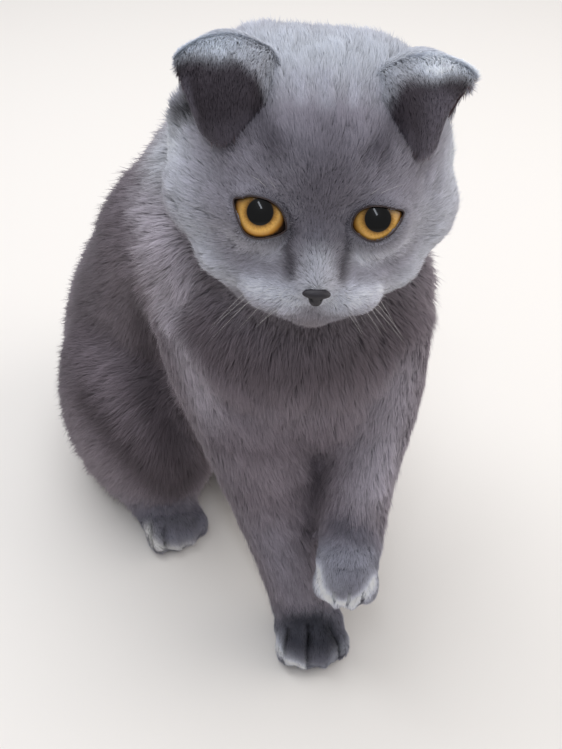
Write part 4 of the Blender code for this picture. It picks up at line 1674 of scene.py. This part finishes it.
@dataclass
class Ear:
    """A folded ear: a cup that rises from the skull and a flap that hangs forward from it.

    Places are those of a left ear, in the head's frame. Across an ear, 0 is its inner side and 1 its
    outer one. Along it, 0 is its root and 1 its free edge.

    Attributes:
        side: The side of the head.
        fold: The line of the fold from inner to outer end, with a control place between.
        edge: The free edge of the flap, in the same way.
        notch: How far the outer half of the flap is drawn in, in centimetres.
        pale: The colour of the fur on the fold, paler partly as painted light from above.
        shaded_from: Where across the ear the dark of the flap begins, at its top and at its edge.
        margin: Where the grey of the flap's outer margin begins and is full, and its strength.
        columns: The number of faces across.
        rows: The number of faces along.
        half: Half the ear's thickness, in centimetres.
        apron: How far the apron of fur reaches inwards from the ear, as a share of its width.
    """

    side: Side
    fold: Line
    edge: Line
    notch: float
    pale: str
    shaded_from: tuple[float, float]
    margin: tuple[float, float, float]
    columns: int = 40
    rows: int = 44
    half: float = 0.055
    apron: float = 0.3

    def middle(self, across: np.ndarray, along: np.ndarray) -> np.ndarray:
        """Places in the middle of the ear's thickness, from the root over the fold to the edge.

        Args:
            across: From 0 at the inner side to 1 at the outer, and less than 0 on the apron that runs
                down into the crown.
            along: From 0 at the root over 0.5 at the fold to 1 at the free edge.

        Returns:
            The places in the head's frame of a left ear.
        """
        inwards = (np.clip(-across / self.apron, 0, 1) ** 1.2)[..., None]
        across = np.clip(across, 0, 1)
        root, fold, edge = (bezier(line, across) for line in (EAR_ROOT, self.fold, self.edge))
        t = (along * 2)[..., None]
        rise = np.sin(np.pi * np.clip(t, 0, 1)) * (0.3 + 0.7 * np.sin(np.pi * across))[..., None]
        lower = root + (fold - root) * t + np.array((0.05, 0.45, 0.38)) * rise
        t = t - 1
        shove = np.stack((0.12 - self.notch * across**2, 0 * across - 0.2, 0 * across + 0.25), axis=-1)
        upper = fold + (edge - fold) * t + shove * np.sin(np.pi * np.clip(t, 0, 1))
        cup = np.where(t < 0, lower, upper)
        return cup + (bezier(EAR_APRON, along) - cup) * inwards

    def build(self, fur: BlueCoat) -> dict[str, np.ndarray]:
        """Makes the points of the ear's shell, with the lie and colour of its hair.

        Args:
            fur: The coat's finish.

        Returns:
            The arrays of the skin's surface that have one row a point.
        """
        across, along = np.meshgrid(
            np.linspace(-self.apron, 1, self.columns + 1), np.linspace(0, 1, self.rows + 1)
        )
        place = self.middle(across, along)
        place = relaxed(place.reshape(-1, 3), self.grid_edges(), 2).reshape(place.shape)
        run = np.gradient(place, axis=0)
        wide = np.gradient(place, axis=1)
        normal = unit(np.cross(wide, run))
        # The shell thins towards all its edges but the root.
        rim = np.minimum(np.minimum(across + self.apron, 1 - across) * 6, (1 - along) * 8)
        half = self.half * np.sqrt(np.clip(rim, 0, 1)) + 0.006
        mirror = np.array((self.side.value, 1.0, 1.0))
        sheets = np.stack((place + normal * half[..., None], place - normal * half[..., None])) * mirror
        places = HEAD.outwards(sheets.reshape(-1, 3))
        # The hair parts short of the fold: one way to the root, the other over the fold and down the flap.
        ahead = (2 * ramp(0.3, 0.46, along) - 1)[..., None]
        parted = unit(run) * ahead + unit(wide) * (1 - ahead**2)
        flow = np.stack((parted, parted)) * mirror
        lie = unit(flow.reshape(-1, 3)) @ HEAD.turn().T
        inner = np.repeat((True, False), across.size)
        spread = np.tile(along.ravel(), 2)
        reach = np.tile(across.ravel(), 2)
        crown = ramp(0.02, -0.25, reach)[:, None]
        coat = np.tile(np.array(EAR_ZONE.row()), (len(places), 1))
        apron = np.maximum(crown, 0.8 * ramp(0.35, 0.1, spread)[:, None])
        coat += (np.array(APRON_ZONE.row()) - coat) * apron
        fold = np.exp(-(((spread - 0.52) / 0.14) ** 2))[:, None] * (1 - crown)
        coat += (np.array(FOLD_ZONE.row()) - coat) * fold
        coat[:, 3] = np.where(inner, 4.0, coat[:, 3])
        colours = self.colours(places, reach, spread, fur)
        colours = np.where(inner[:, None], np.array(linear(fur.inner_ear)), colours)
        group = np.full(len(places), GROUPS.index("ears"))
        return {"places": places, "lie": lie, "coat": coat, "colours": colours, "group": group}

    def faces(self) -> np.ndarray:
        """Joins the points of the shell's two sheets, and the sheets along their rim.

        Returns:
            The faces as point numbers, each looking outwards.
        """
        shape = (2, self.rows + 1, self.columns + 1)
        number = np.arange(math.prod(shape)).reshape(shape)
        first, second = (
            np.stack((grid[:-1, :-1], grid[:-1, 1:], grid[1:, 1:], grid[1:, :-1]), axis=-1).reshape(-1, 4)
            for grid in number
        )
        loop = [(0, column) for column in range(self.columns)]
        loop += [(row, self.columns) for row in range(self.rows)]
        loop += [(self.rows, column) for column in range(self.columns, 0, -1)]
        loop += [(row, 0) for row in range(self.rows, 0, -1)]
        rim = [
            (number[1][here], number[1][there], number[0][there], number[0][here])
            for here, there in zip(loop, loop[1:] + loop[:1])
        ]
        faces = np.concatenate((first, second[:, ::-1], np.array(rim)))
        return faces[:, ::-1] if self.side is Side.RIGHT else faces

    def grid_edges(self) -> np.ndarray:
        """The edges of one sheet's grid.

        Returns:
            Pairs of point numbers.
        """
        number = np.arange((self.rows + 1) * (self.columns + 1)).reshape(self.rows + 1, self.columns + 1)
        rows = np.stack((number[:-1], number[1:]), axis=-1).reshape(-1, 2)
        columns = np.stack((number[:, :-1], number[:, 1:]), axis=-1).reshape(-1, 2)
        return np.concatenate((rows, columns))

    def colours(self, places: np.ndarray, across: np.ndarray, along: np.ndarray, fur: BlueCoat) -> np.ndarray:
        """The ear's colours: pale like the crown up to the fold, partly as painted light from above, and dark
        on the flap, partly as painted shade.

        Args:
            places: The ear's points in the sculpting frame.
            across: Where each lies from the inner to the outer side.
            along: Where each lies from root to edge.
            fur: The coat's finish.

        Returns:
            One colour for each point.
        """
        head = with_markings_and_painted_light(np.tile(np.array(linear(fur.head)), (len(places), 1)), places)
        pale = np.array(linear(self.pale))
        # The fold is paled, partly as painted light from above.
        base = head + (pale - head) * (ramp(0.05, 0.45, across) * ramp(0.3, 0.5, along))[:, None]
        start = 0.6 - 0.08 * ramp(0.4, 1.0, across)
        first, last = self.shaded_from
        inner = first + (last - first) * np.clip((along - 0.58) / 0.3, 0, 1)
        # The flap is darkened, partly as painted shade below the fold.
        shaded = ramp(-0.05, 0.08, along - start) * ramp(-0.1, 0.14, across - inner)
        dark = np.array(linear(fur.ear))
        near, far, strength = self.margin
        rim = (strength * ramp(near, far, across) * ramp(0.62, 0.72, along))[:, None]
        edge = np.maximum(rim, 0.4 * ramp(0.84, 1.0, along)[:, None])
        dark = dark + (np.array(linear(fur.ear_edge)) - dark) * edge
        return base + (dark - base) * shaded[:, None]


EARS = (
    Ear(
        side=Side.LEFT,
        fold=((1.6, -0.6, 3.55), (3.1, 0.0, 4.0), (4.08, 0.0, 3.25)),
        edge=((2.05, -1.95, 2.35), (2.5, -2.3, 1.6), (2.95, -1.5, 1.95)),
        notch=0.35,
        pale="bcc0c6",
        shaded_from=(0.03, -0.34),
        margin=(0.0, 0.7, 0.65),
    ),
    Ear(
        side=Side.RIGHT,
        fold=((1.5, -0.45, 3.72), (2.9, -0.1, 4.2), (3.88, 0.1, 3.15)),
        edge=((1.95, -1.85, 2.5), (2.5, -2.3, 1.65), (3.1, -1.4, 1.85)),
        notch=0.0,
        pale="acb0b6",
        shaded_from=(0.27, -0.4),
        margin=(0.8, 0.92, 0.6),
    ),
)


@dataclass
class Coat:
    """The coat: thin tapered tufts of solid mesh that lie along the body and overlap.

    Attributes:
        frame: The sculpting frame.
        surface: The skin in which the tufts are rooted.
        fur: The coat's finish.
        clump: The distance between the middles of neighbouring locks, in centimetres.
        stray: How far tufts turn away from the lie, as a share.
        most: The most tufts in one piece.
        loose: The share of the tufts that stand out of their lock, longer and thinner.
        sunk: How deep a tuft's root lies in the skin, in centimetres.
        bend: Where along its length a tuft is widest and bends.
        arch: How much of its whole rise it has there.
        gather: How far the bend and the tip are drawn to the middle of the lock, as shares of the way.
        twist: How far a tuft may turn about its own length.
        lowest: How far the tufts stay above the floor, in centimetres.
    """

    frame: SculptFrame
    surface: Surface
    fur: BlueCoat
    clump: float = 0.26
    stray: float = 0.2
    most: int = 99000
    loose: float = 0.07
    sunk: float = 0.03
    bend: float = 0.45
    arch: float = 0.66
    gather: tuple[float, float] = (0.12, 0.36)
    twist: float = 1.1
    lowest: float = 0.004

    def build(self) -> list[bpy.types.Object]:
        """Makes the coat.

        Returns:
            One object for each group of body parts that has tufts.
        """
        material = self.fur.tuft_material()
        owner = self.surface.group[self.surface.triangles[:, 0]]
        made = []
        for number, name in enumerate(GROUPS):
            rng = np.random.default_rng(SEED + number)
            roots = self.roots(np.flatnonzero(owner == number), rng)
            if not len(roots["place"]):
                continue
            piece = new_object(f"coat_{name}", self.tufts(f"coat_{name}", roots, rng))
            piece.data.materials.append(material)
            LOG.info("%s: %d tufts", piece.name, len(roots["place"]))
            made.append(piece)
        return made

    def roots(self, faces: np.ndarray, rng: np.random.Generator) -> dict:
        """Spreads roots over faces of the skin by the coat's density there.

        Args:
            faces: The numbers of the triangles.
            rng: The source of chance.

        Returns:
            Arrays of the roots' places, normals, lie, coat values, colours and map places.
        """
        skin = self.surface
        triangles = skin.triangles[faces]
        corner = skin.places[triangles]
        span = np.cross(corner[:, 1] - corner[:, 0], corner[:, 2] - corner[:, 0])
        # The areas in square millimetres.
        area = np.linalg.norm(span, axis=1) / 2 * 100
        density = skin.coat[triangles, 3]
        density = density.mean(axis=1) * (density.min(axis=1) > 0)
        wanted = area * density
        wanted *= min(1.0, self.most * 0.995 / max(wanted.sum(), 1.0))
        count = np.floor(wanted + rng.random(len(wanted))).astype(int)
        chosen = np.repeat(np.arange(len(faces)), count)[: self.most]
        # An even place in each chosen triangle, as the shares of its three corners.
        a, b = rng.random((2, len(chosen)))
        over = a + b > 1
        a, b = np.where(over, 1 - a, a), np.where(over, 1 - b, b)
        mix = np.stack((1 - a - b, a, b), axis=1)[..., None]
        points = triangles[chosen]
        loops = skin.corners[faces][chosen]

        def blended(values: np.ndarray, numbers: np.ndarray) -> np.ndarray:
            """The values at the roots, mixed from those at the numbered corners."""
            return (values[numbers] * mix).sum(axis=1)

        return {
            "place": blended(skin.places, points),
            "normal": unit(blended(skin.normals, points)),
            "lie": unit(blended(skin.lie, points)),
            "coat": blended(skin.coat, points),
            "colour": blended(skin.colours, points),
            "uv": blended(skin.uv, loops),
        }

    def locks(self, places: np.ndarray) -> tuple[np.ndarray, np.ndarray]:
        """Finds the lock that each root belongs to: that with the nearest middle, of one in each cell.

        Args:
            places: The roots.

        Returns:
            The middle of each root's lock, and a number from 0 to 1 that its tufts share.
        """
        table = np.random.default_rng(SEED).random((65536, 4))
        cell = np.floor(places / self.clump).astype(np.int64)
        best = np.full(len(places), 1e9)
        middle = np.zeros_like(places)
        chance = np.zeros(len(places))
        for step in itertools.product((-1, 0, 1), repeat=3):
            near = cell + step
            # A spatial hash: three large primes scatter the cells over the table.
            key = (near[:, 0] * 73856093 ^ near[:, 1] * 19349663 ^ near[:, 2] * 83492791) & 65535
            draw = table[key]
            spot = (near + draw[:, :3]) * self.clump
            distance = np.sum((spot - places) ** 2, axis=1)
            closer = distance < best
            best = np.where(closer, distance, best)
            middle = np.where(closer[:, None], spot, middle)
            chance = np.where(closer, draw[:, 3], chance)
        return middle, chance

    def tufts(self, name: str, roots: dict[str, np.ndarray], rng: np.random.Generator) -> bpy.types.Mesh:
        """Builds the tufts of one piece: a leaf-shaped blade of two triangles for each root.

        Args:
            name: The piece's name.
            roots: The arrays that roots gives.
            rng: The source of chance.

        Returns:
            The mesh.
        """
        place, normal, lie = roots["place"], roots["normal"], roots["lie"]
        count = len(place)
        depth, length, width = (roots["coat"][:, column] * MM for column in range(3))
        middle, lock = self.locks(place)
        draw = rng.random((count, 6))
        across = np.cross(normal, lie)
        sway = (draw[:, 0] - 0.5) * 2 * self.stray + (lock - 0.5) * 0.5 * np.clip(length / 0.4, 0, 1) ** 2
        lie = unit(lie + across * sway[:, None])
        across = np.cross(normal, lie)
        loose = rng.random(count) < self.loose
        length = length * (0.72 + 0.5 * draw[:, 1]) * (0.85 + 0.3 * lock) * np.where(loose, 1.15, 1.0)
        rise = depth * (0.5 + 0.55 * draw[:, 2] + 0.25 * lock) * np.where(loose, 1.35, 1.0)
        width = width * np.where(loose, 0.6, 1.0)
        pull = middle - place
        pull -= normal * np.sum(pull * normal, axis=1, keepdims=True)
        pull *= (np.clip(length / 0.5, 0, 1) ** 2)[:, None]
        # A tuft reaches along the body for what its rise leaves of its length.
        flat = np.sqrt(np.maximum(length**2 - rise**2, (0.45 * length) ** 2))
        root = place - normal * self.sunk
        at_bend, at_tip = self.gather
        half = place + lie * (flat * self.bend)[:, None] + normal * (rise * self.arch)[:, None]
        half = half + pull * at_bend
        tip = place + lie * flat[:, None] + normal * rise[:, None] + pull * at_tip
        twist = (draw[:, 3] - 0.5) * self.twist
        side = unit(across + normal * twist[:, None])
        wide = (width * (0.7 + 0.6 * draw[:, 4]))[:, None]
        points = np.stack((root, half - side * wide * 0.5, half + side * wide * 0.5, tip), axis=1)
        points[:, :, 2] = np.maximum(points[:, :, 2], self.lowest)
        mesh = self.blades(name, points)
        # Locks and single tufts differ a little in tone.
        tone = 0.96 + 0.2 * (lock - 0.5) * np.clip(length / 0.4, 0.3, 1) + 0.16 * (draw[:, 5] - 0.5)
        shade = np.array((self.fur.root_shade, self.fur.bend_shade, self.fur.bend_shade, self.fur.tip_shade))
        colours = roots["colour"][:, None, :] * tone[:, None, None] * shade[None, :, None]
        # What passes through a tuft is made up for in its colour.
        colours = colours / (1 - self.fur.clearness)
        paint(mesh, np.clip(colours.reshape(-1, 3), 0, 1))
        corners = np.array(((0.0, -0.5), (-0.5, 0.0), (0.5, 0.0), (0.0, 0.5))) * TUFT_PATCH
        patch = (roots["uv"][:, None, :] + corners[None])[:, BLADE]
        layer = mesh.uv_layers.new(name=BAKE_MAP)
        layer.data.foreach_set("uv", patch.reshape(-1).astype(np.float32))
        # A tuft is shaded much like the skin below it, and towards its tip more like its own blade.
        faced = unit(np.cross(points[:, 1] - points[:, 2], points[:, 3] - points[:, 2]))
        soft = unit(normal + lie * 0.25)
        at_half = unit(soft + faced * 0.8)
        normals = np.stack((soft, at_half, at_half, unit(soft + faced * 1.6)), axis=1).reshape(-1, 3)
        mesh.normals_split_custom_set_from_vertices(normals.astype(np.float32).tolist())
        return mesh

    def blades(self, name: str, points: np.ndarray) -> bpy.types.Mesh:
        """Joins the four points of each tuft to two triangles.

        Args:
            name: The mesh's name.
            points: The four places of each tuft, in the sculpting frame, in the order that BLADE names.

        Returns:
            The mesh.
        """
        count = len(points)
        mesh = bpy.data.meshes.new(name)
        mesh.vertices.add(count * 4)
        mesh.vertices.foreach_set("co", self.frame.metres(points.reshape(-1, 3)).astype(np.float32).ravel())
        loops = (np.arange(count) * 4)[:, None] + BLADE
        mesh.loops.add(count * 6)
        mesh.loops.foreach_set("vertex_index", loops.ravel().astype(np.int32))
        mesh.polygons.add(count * 2)
        starts = (np.arange(count) * 6)[:, None] + (0, 3)
        mesh.polygons.foreach_set("loop_start", starts.ravel().astype(np.int32))
        mesh.update(calc_edges=True)
        mesh.shade_smooth()
        return mesh


@dataclass
class Eye:
    """An eyeball with its cornea's bulge, and the dark moist edge of its lids.

    Attributes:
        frame: The sculpting frame.
        side: The side of the head.
        segments: The number of faces round the ball.
        rings: The number of faces from its back to its front.
        bulge: How far the cornea stands out, as a share of the ball's radius.
        bead: Where the edge of the lids lies and how thick it is: radii from the ball's middle and
            round the edge's own line, in centimetres.
    """

    frame: SculptFrame
    side: Side
    segments: int = 128
    rings: int = 96
    bulge: float = 0.035
    bead: tuple[float, float] = (0.902, 0.024)

    def ball(self, finish: AmberEye) -> bpy.types.Object:
        """Makes the eyeball, whose own Z axis is the gaze.

        Args:
            finish: Its finish.

        Returns:
            The object.
        """
        form = bmesh.new()
        radius = HEAD.eye_radius * CM
        bmesh.ops.create_uvsphere(form, u_segments=self.segments, v_segments=self.rings, radius=radius)
        for vertex in form.verts:
            lean = vertex.co.z / radius
            vertex.co *= 1 + self.bulge * max(0.0, (lean - 0.55) / 0.45)
        mesh = bpy.data.meshes.new(f"eyeball_{self.side.name.lower()}")
        form.to_mesh(mesh)
        form.free()
        mesh.shade_smooth()
        mesh.materials.append(finish.material())
        made = new_object(mesh.name, mesh)
        out, up, ahead = HEAD.gaze(self.side) @ HEAD.turn().T
        wide = out * self.side.value
        turn = Matrix(np.stack((wide, up, ahead), axis=1).tolist()).to_4x4()
        middle = self.frame.metres(HEAD.outwards(HEAD.eye_centre(self.side)))
        made.matrix_world = Matrix.Translation(Vector(middle)) @ turn
        paint(mesh, np.repeat(self.lid_shade(mesh_places(mesh) / CM)[:, None], 3, axis=1))
        return made

    def lid_shade(self, places: np.ndarray) -> np.ndarray:
        """How much light the lids leave on the ball: least under the upper lid and in the inner corner.

        Args:
            places: The ball's points in its own frame, in centimetres.

        Returns:
            Shares from 0 to 1.
        """
        local = places * (self.side.value, 1, 1)
        outline = closed_curve(LID_LINES[self.side], 96)
        ring = np.vstack((outline, outline[:1]))
        distance = line_distance(local * (1, 1, 0), np.column_stack((ring, np.zeros(len(ring)))))
        top = ramp(-0.1, 0.25, local[:, 1])
        corner = np.exp(-((line_distance(local[:, :2], ((-0.78, -0.36),)) / 0.26) ** 2))
        soft = np.exp(-((distance / 0.07) ** 2)) * 0.55
        shadow = np.exp(-((distance / 0.16) ** 2)) * 0.5 * top
        return (1 - soft) * (1 - shadow) * (1 - 0.85 * corner)

    def lid_edge(self, finish: LidSkin) -> bpy.types.Object:
        """Makes the bare edge of the lids, a soft bead along the opening.

        Args:
            finish: Its finish.

        Returns:
            The object.
        """
        outline = closed_curve(LID_LINES[self.side], 96)
        reach, thickness = self.bead
        depth = np.sqrt(reach**2 - np.sum(outline**2, axis=1))
        line = np.column_stack((outline, depth)) @ HEAD.gaze(self.side) + HEAD.eye_centre(self.side)
        places, faces = tube(self.frame.metres(HEAD.outwards(line)), thickness * CM, 8, closed=True)
        name = f"lid_edge_{self.side.name.lower()}"
        mesh = mesh_from(name, places, faces)
        mesh.materials.append(finish.material())
        return new_object(name, mesh)


def tube(
    line: np.ndarray, radius: float | np.ndarray, sides: int, closed: bool = False
) -> tuple[np.ndarray, list[tuple[int, ...]]]:
    """A tube along a line.

    Args:
        line: The places along its middle.
        radius: Its radius, one number or one for each place.
        sides: The number of its sides.
        closed: Whether it is a ring.

    Returns:
        Its places and faces.
    """
    if closed:
        along = unit(np.roll(line, -1, axis=0) - np.roll(line, 1, axis=0))
    else:
        along = unit(np.gradient(line, axis=0))
    side = unit(np.cross(along, (0.31, 0.17, 0.94)))
    other = np.cross(along, side)
    angle = np.arange(sides) * math.tau / sides
    radius = np.broadcast_to(radius, len(line))[:, None, None]
    ring = side[:, None] * np.cos(angle)[None, :, None] + other[:, None] * np.sin(angle)[None, :, None]
    places = (line[:, None] + ring * radius).reshape(-1, 3)
    faces = []
    last = len(line) if closed else len(line) - 1
    for row in range(last):
        below, above = row * sides, (row + 1) % len(line) * sides
        for corner in range(sides):
            following = (corner + 1) % sides
            faces.append((below + corner, below + following, above + following, above + corner))
    if not closed:
        faces.append(tuple(range(sides))[::-1])
        faces.append(tuple(range((len(line) - 1) * sides, len(line) * sides)))
    return places, faces


@dataclass
class Nose:
    """The nose leather, finely melted from its solid, with a nostril on each side.

    Attributes:
        frame: The sculpting frame.
        nostril: The places along the left nostril, in the head's frame.
        nostril_width: How far from that line it fades, in centimetres.
        nostril_depth: How deep it is, in centimetres.
        flare: How much wider than its solid the upper part of the nose is, as a share.
        voxel: The grain of the melting, in metres.
    """

    frame: SculptFrame
    nostril: Line = ((0.12, -4.17, -1.27), (0.19, -4.12, -1.24), (0.26, -4.03, -1.17))
    nostril_width: float = 0.045
    nostril_depth: float = 0.07
    flare: float = 0.22
    voxel: float = 0.00018

    def build(self, finish: NoseLeather) -> bpy.types.Object:
        """Makes the nose's object.

        Args:
            finish: Its finish.

        Returns:
            The object.
        """
        made = new_object("nose_leather", self.frame.nodes["nose"].data.copy())
        remesh = made.modifiers.new("Remesh", "REMESH")
        remesh.mode = "VOXEL"
        remesh.voxel_size = self.voxel
        smooth = made.modifiers.new("Smooth", "SMOOTH")
        smooth.iterations = 6
        mesh = bpy.data.meshes.new_from_object(made.evaluated_get(bpy.context.evaluated_depsgraph_get()))
        made.modifiers.clear()
        made.data = mesh
        mesh.shade_smooth()
        self.open_nostrils(mesh)
        mesh.materials.clear()
        mesh.materials.append(finish.material())
        return made

    def open_nostrils(self, mesh: bpy.types.Mesh) -> None:
        """Presses a comma into each wing of the nose, darkened with painted shade, and flares its upper part.

        Args:
            mesh: The nose's mesh, which is changed.
        """
        places = self.frame.sculpted(mesh_places(mesh))
        in_head = HEAD.inwards(places)
        triangles, _ = mesh_triangles(mesh)
        normals = point_normals(places, triangles)
        press = np.zeros(len(places))
        for side in Side:
            comma = tuple((x * side.value, y, z) for x, y, z in self.nostril)
            near = np.exp(-((line_distance(in_head, comma) / self.nostril_width) ** 2))
            press = np.maximum(press, near)
        places = places - normals * (press * self.nostril_depth)[:, None]
        wide = 1 + self.flare * ramp(-1.36, -1.16, in_head[:, 2])
        outwards = np.array((1.0, 0.0, 0.0)) * (in_head[:, 0] * (wide - 1))[:, None]
        places = places + outwards @ HEAD.turn().T
        mesh.vertices.foreach_set("co", self.frame.metres(places).astype(np.float32).ravel())
        # Painted shade in the nostrils.
        paint(mesh, np.repeat((1 - 0.93 * press)[:, None], 3, axis=1))


@dataclass
class Whiskers:
    """Long stiff hairs on the muzzle and a few over the eyes.

    Attributes:
        frame: The sculpting frame.
        rows: The height of each row on the muzzle, in the head's frame, and its number of hairs.
        root_radius: The radius of a hair at its root, in centimetres.
    """

    frame: SculptFrame
    rows: tuple[tuple[float, int], ...] = ((-1.2, 3), (-1.45, 3), (-1.65, 2))
    root_radius: float = 0.0045

    def build(self, finish: WhiskerKeratin) -> bpy.types.Object:
        """Makes all the whiskers as one object.

        Args:
            finish: Their finish.

        Returns:
            The object.
        """
        rng = np.random.default_rng(SEED + 50)
        hairs = []
        for side in Side:
            for height, count in self.rows:
                for number in range(count):
                    share = number / (count - 1)
                    root = np.array((0.75 + 0.75 * share, -3.8 + 0.45 * share**2, height - 0.1 * share))
                    length = 1.0 + 0.8 * share * rng.uniform(0.7, 1.1)
                    aim = unit(np.array((0.9, -0.35 + 0.3 * share, -0.6 - 0.5 * rng.random())))
                    hairs.append(self.hair(root, aim, length, side))
            for number in range(2):
                root = np.array((1.2 + 0.25 * number, -2.9, 1.15 + 0.05 * number))
                aim = unit(np.array((0.3 + 0.2 * number, -0.7, 0.8)))
                hairs.append(self.hair(root, aim, 1.1, side))
        places = np.concatenate([points for points, _ in hairs])
        faces = [
            tuple(number * len(points) + point for point in face)
            for number, (points, sides) in enumerate(hairs)
            for face in sides
        ]
        mesh = mesh_from("whiskers", places, faces)
        mesh.materials.append(finish.material())
        return new_object("whiskers", mesh)

    def hair(
        self, root: np.ndarray, aim: np.ndarray, length: float, side: Side
    ) -> tuple[np.ndarray, list[tuple[int, ...]]]:
        """Draws one whisker that droops and tapers from its root.

        Args:
            root: Its root, in the head's frame of a left whisker.
            aim: The way it points there.
            length: Its length, in centimetres.
            side: The side of the head.

        Returns:
            Its places, in metres, and its faces.
        """
        t = np.linspace(0, 1, 10)[:, None]
        line = root + aim * length * t + np.array((0.0, 0.25, -0.35)) * length * 0.5 * t**2
        line = HEAD.outwards(line * (side.value, 1, 1))
        radius = (self.root_radius * (1 - 0.85 * t[:, 0])) * CM
        return tube(self.frame.metres(line), radius, 5)


@dataclass
class Studio:
    """A pale paper floor, soft light from above and behind, and the photo's camera.

    Attributes:
        frame: The sculpting frame.
        paper: The floor's finish.
        camera_place: Where the camera is.
        pitch: How far it looks down, in degrees.
        lens: Its focal length, in millimetres.
        sky_colour: The colour of the light from all round.
        sky_strength: Its strength.
    """

    frame: SculptFrame
    paper: StudioPaper = StudioPaper()
    camera_place: Place = (0.0, -24.9, 28.8)
    pitch: float = 40.0
    lens: float = 48.06
    sky_colour: str = "f3f3f6"
    sky_strength: float = 0.52

    def floor(self) -> bpy.types.Object:
        """Makes the floor, far wider than the view.

        Returns:
            The object.
        """
        places = [(-3, -3, 0), (3, -3, 0), (3, 3, 0), (-3, 3, 0)]
        mesh = mesh_from("floor", np.array(places, float), [(0, 1, 2, 3)])
        mesh.materials.append(self.paper.material())
        return new_object("floor", mesh)

    def lamp(
        self, name: str, place: Place, target: Place, size: tuple[float, float], power: float, colour: str,
        roll: float = 0.0,
    ) -> None:
        """Adds a rectangular soft light.

        Args:
            name: Its name.
            place: Where it hangs, in the sculpting frame.
            target: Where it points, in the sculpting frame.
            size: Its width and height, in metres.
            power: Its power in watts.
            colour: Its sRGB colour.
            roll: How far it is turned about its own axis, in degrees.
        """
        light = bpy.data.lights.new(name, "AREA")
        light.shape = "RECTANGLE"
        light.size, light.size_y = size
        light.energy = power
        light.color = linear(colour)
        lamp = bpy.data.objects.new(name, light)
        start, end = Vector(self.frame.metres(place)), Vector(self.frame.metres(target))
        lamp.location = start
        aim = (end - start).to_track_quat("-Z", "Y").to_matrix() @ Matrix.Rotation(math.radians(roll), 3, "Z")
        lamp.rotation_euler = aim.to_euler()
        bpy.context.scene.collection.objects.link(lamp)

    def build(self) -> None:
        """Sets up the floor, the lights, the sky and the camera."""
        self.floor()
        self.lamp("window", (-14, 28, 85), (0, 0, 12), (0.8, 0.8), 6.3, "f4f6fb")
        self.lamp("side", (85, 8, 50), (0, 0, 10), (0.9, 0.9), 4.5, "fbf6f2")
        self.lamp("glint", (-1, -38.5, 63), (0.8, -3, 15), (0.06, 0.3), 0.7, "eef4ff", 28.0)
        world = bpy.data.worlds.new("soft_sky")
        world.use_nodes = True
        sky = world.node_tree.nodes["Background"]
        sky.inputs["Color"].default_value = (*linear(self.sky_colour), 1.0)
        sky.inputs["Strength"].default_value = self.sky_strength
        bpy.context.scene.world = world
        camera = bpy.data.cameras.new("camera")
        camera.lens = self.lens
        camera.sensor_width = 36.0
        camera.clip_start = 0.01
        made = bpy.data.objects.new("camera", camera)
        made.location = Vector(self.frame.metres(self.camera_place))
        made.rotation_euler = (math.radians(90 - self.pitch), 0.0, 0.0)
        bpy.context.scene.collection.objects.link(made)
        bpy.context.scene.camera = made
        bpy.context.scene.view_settings.view_transform = "Standard"
        bpy.context.scene.view_settings.look = "None"


def main() -> None:
    """Builds every piece in order."""
    logging.basicConfig(level=logging.INFO, format="%(message)s")
    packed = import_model()
    frame = SculptFrame.from_solids(packed["nodes"])
    fur = BlueCoat()
    skin, surface = Skin(frame, fur).build()
    LOG.info("skin: %d triangles", len(surface.triangles))
    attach(skin, "root")
    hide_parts(*ZONES, "ear_left", "ear_right")
    for piece in Coat(frame, surface, fur).build():
        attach(piece, "root")
    for side, node in ((Side.LEFT, "eye_left"), (Side.RIGHT, "eye_right")):
        eye = Eye(frame, side)
        ball = eye.ball(AmberEye())
        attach(ball, "root")
        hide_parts(node)
        rim = eye.lid_edge(LidSkin())
        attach(rim, "root")
    nose = Nose(frame).build(NoseLeather())
    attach(nose, "root")
    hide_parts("nose")
    whiskers = Whiskers(frame).build(WhiskerKeratin())
    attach(whiskers, "root")
    Studio(frame).build()


if __name__ == "__main__":
    main()
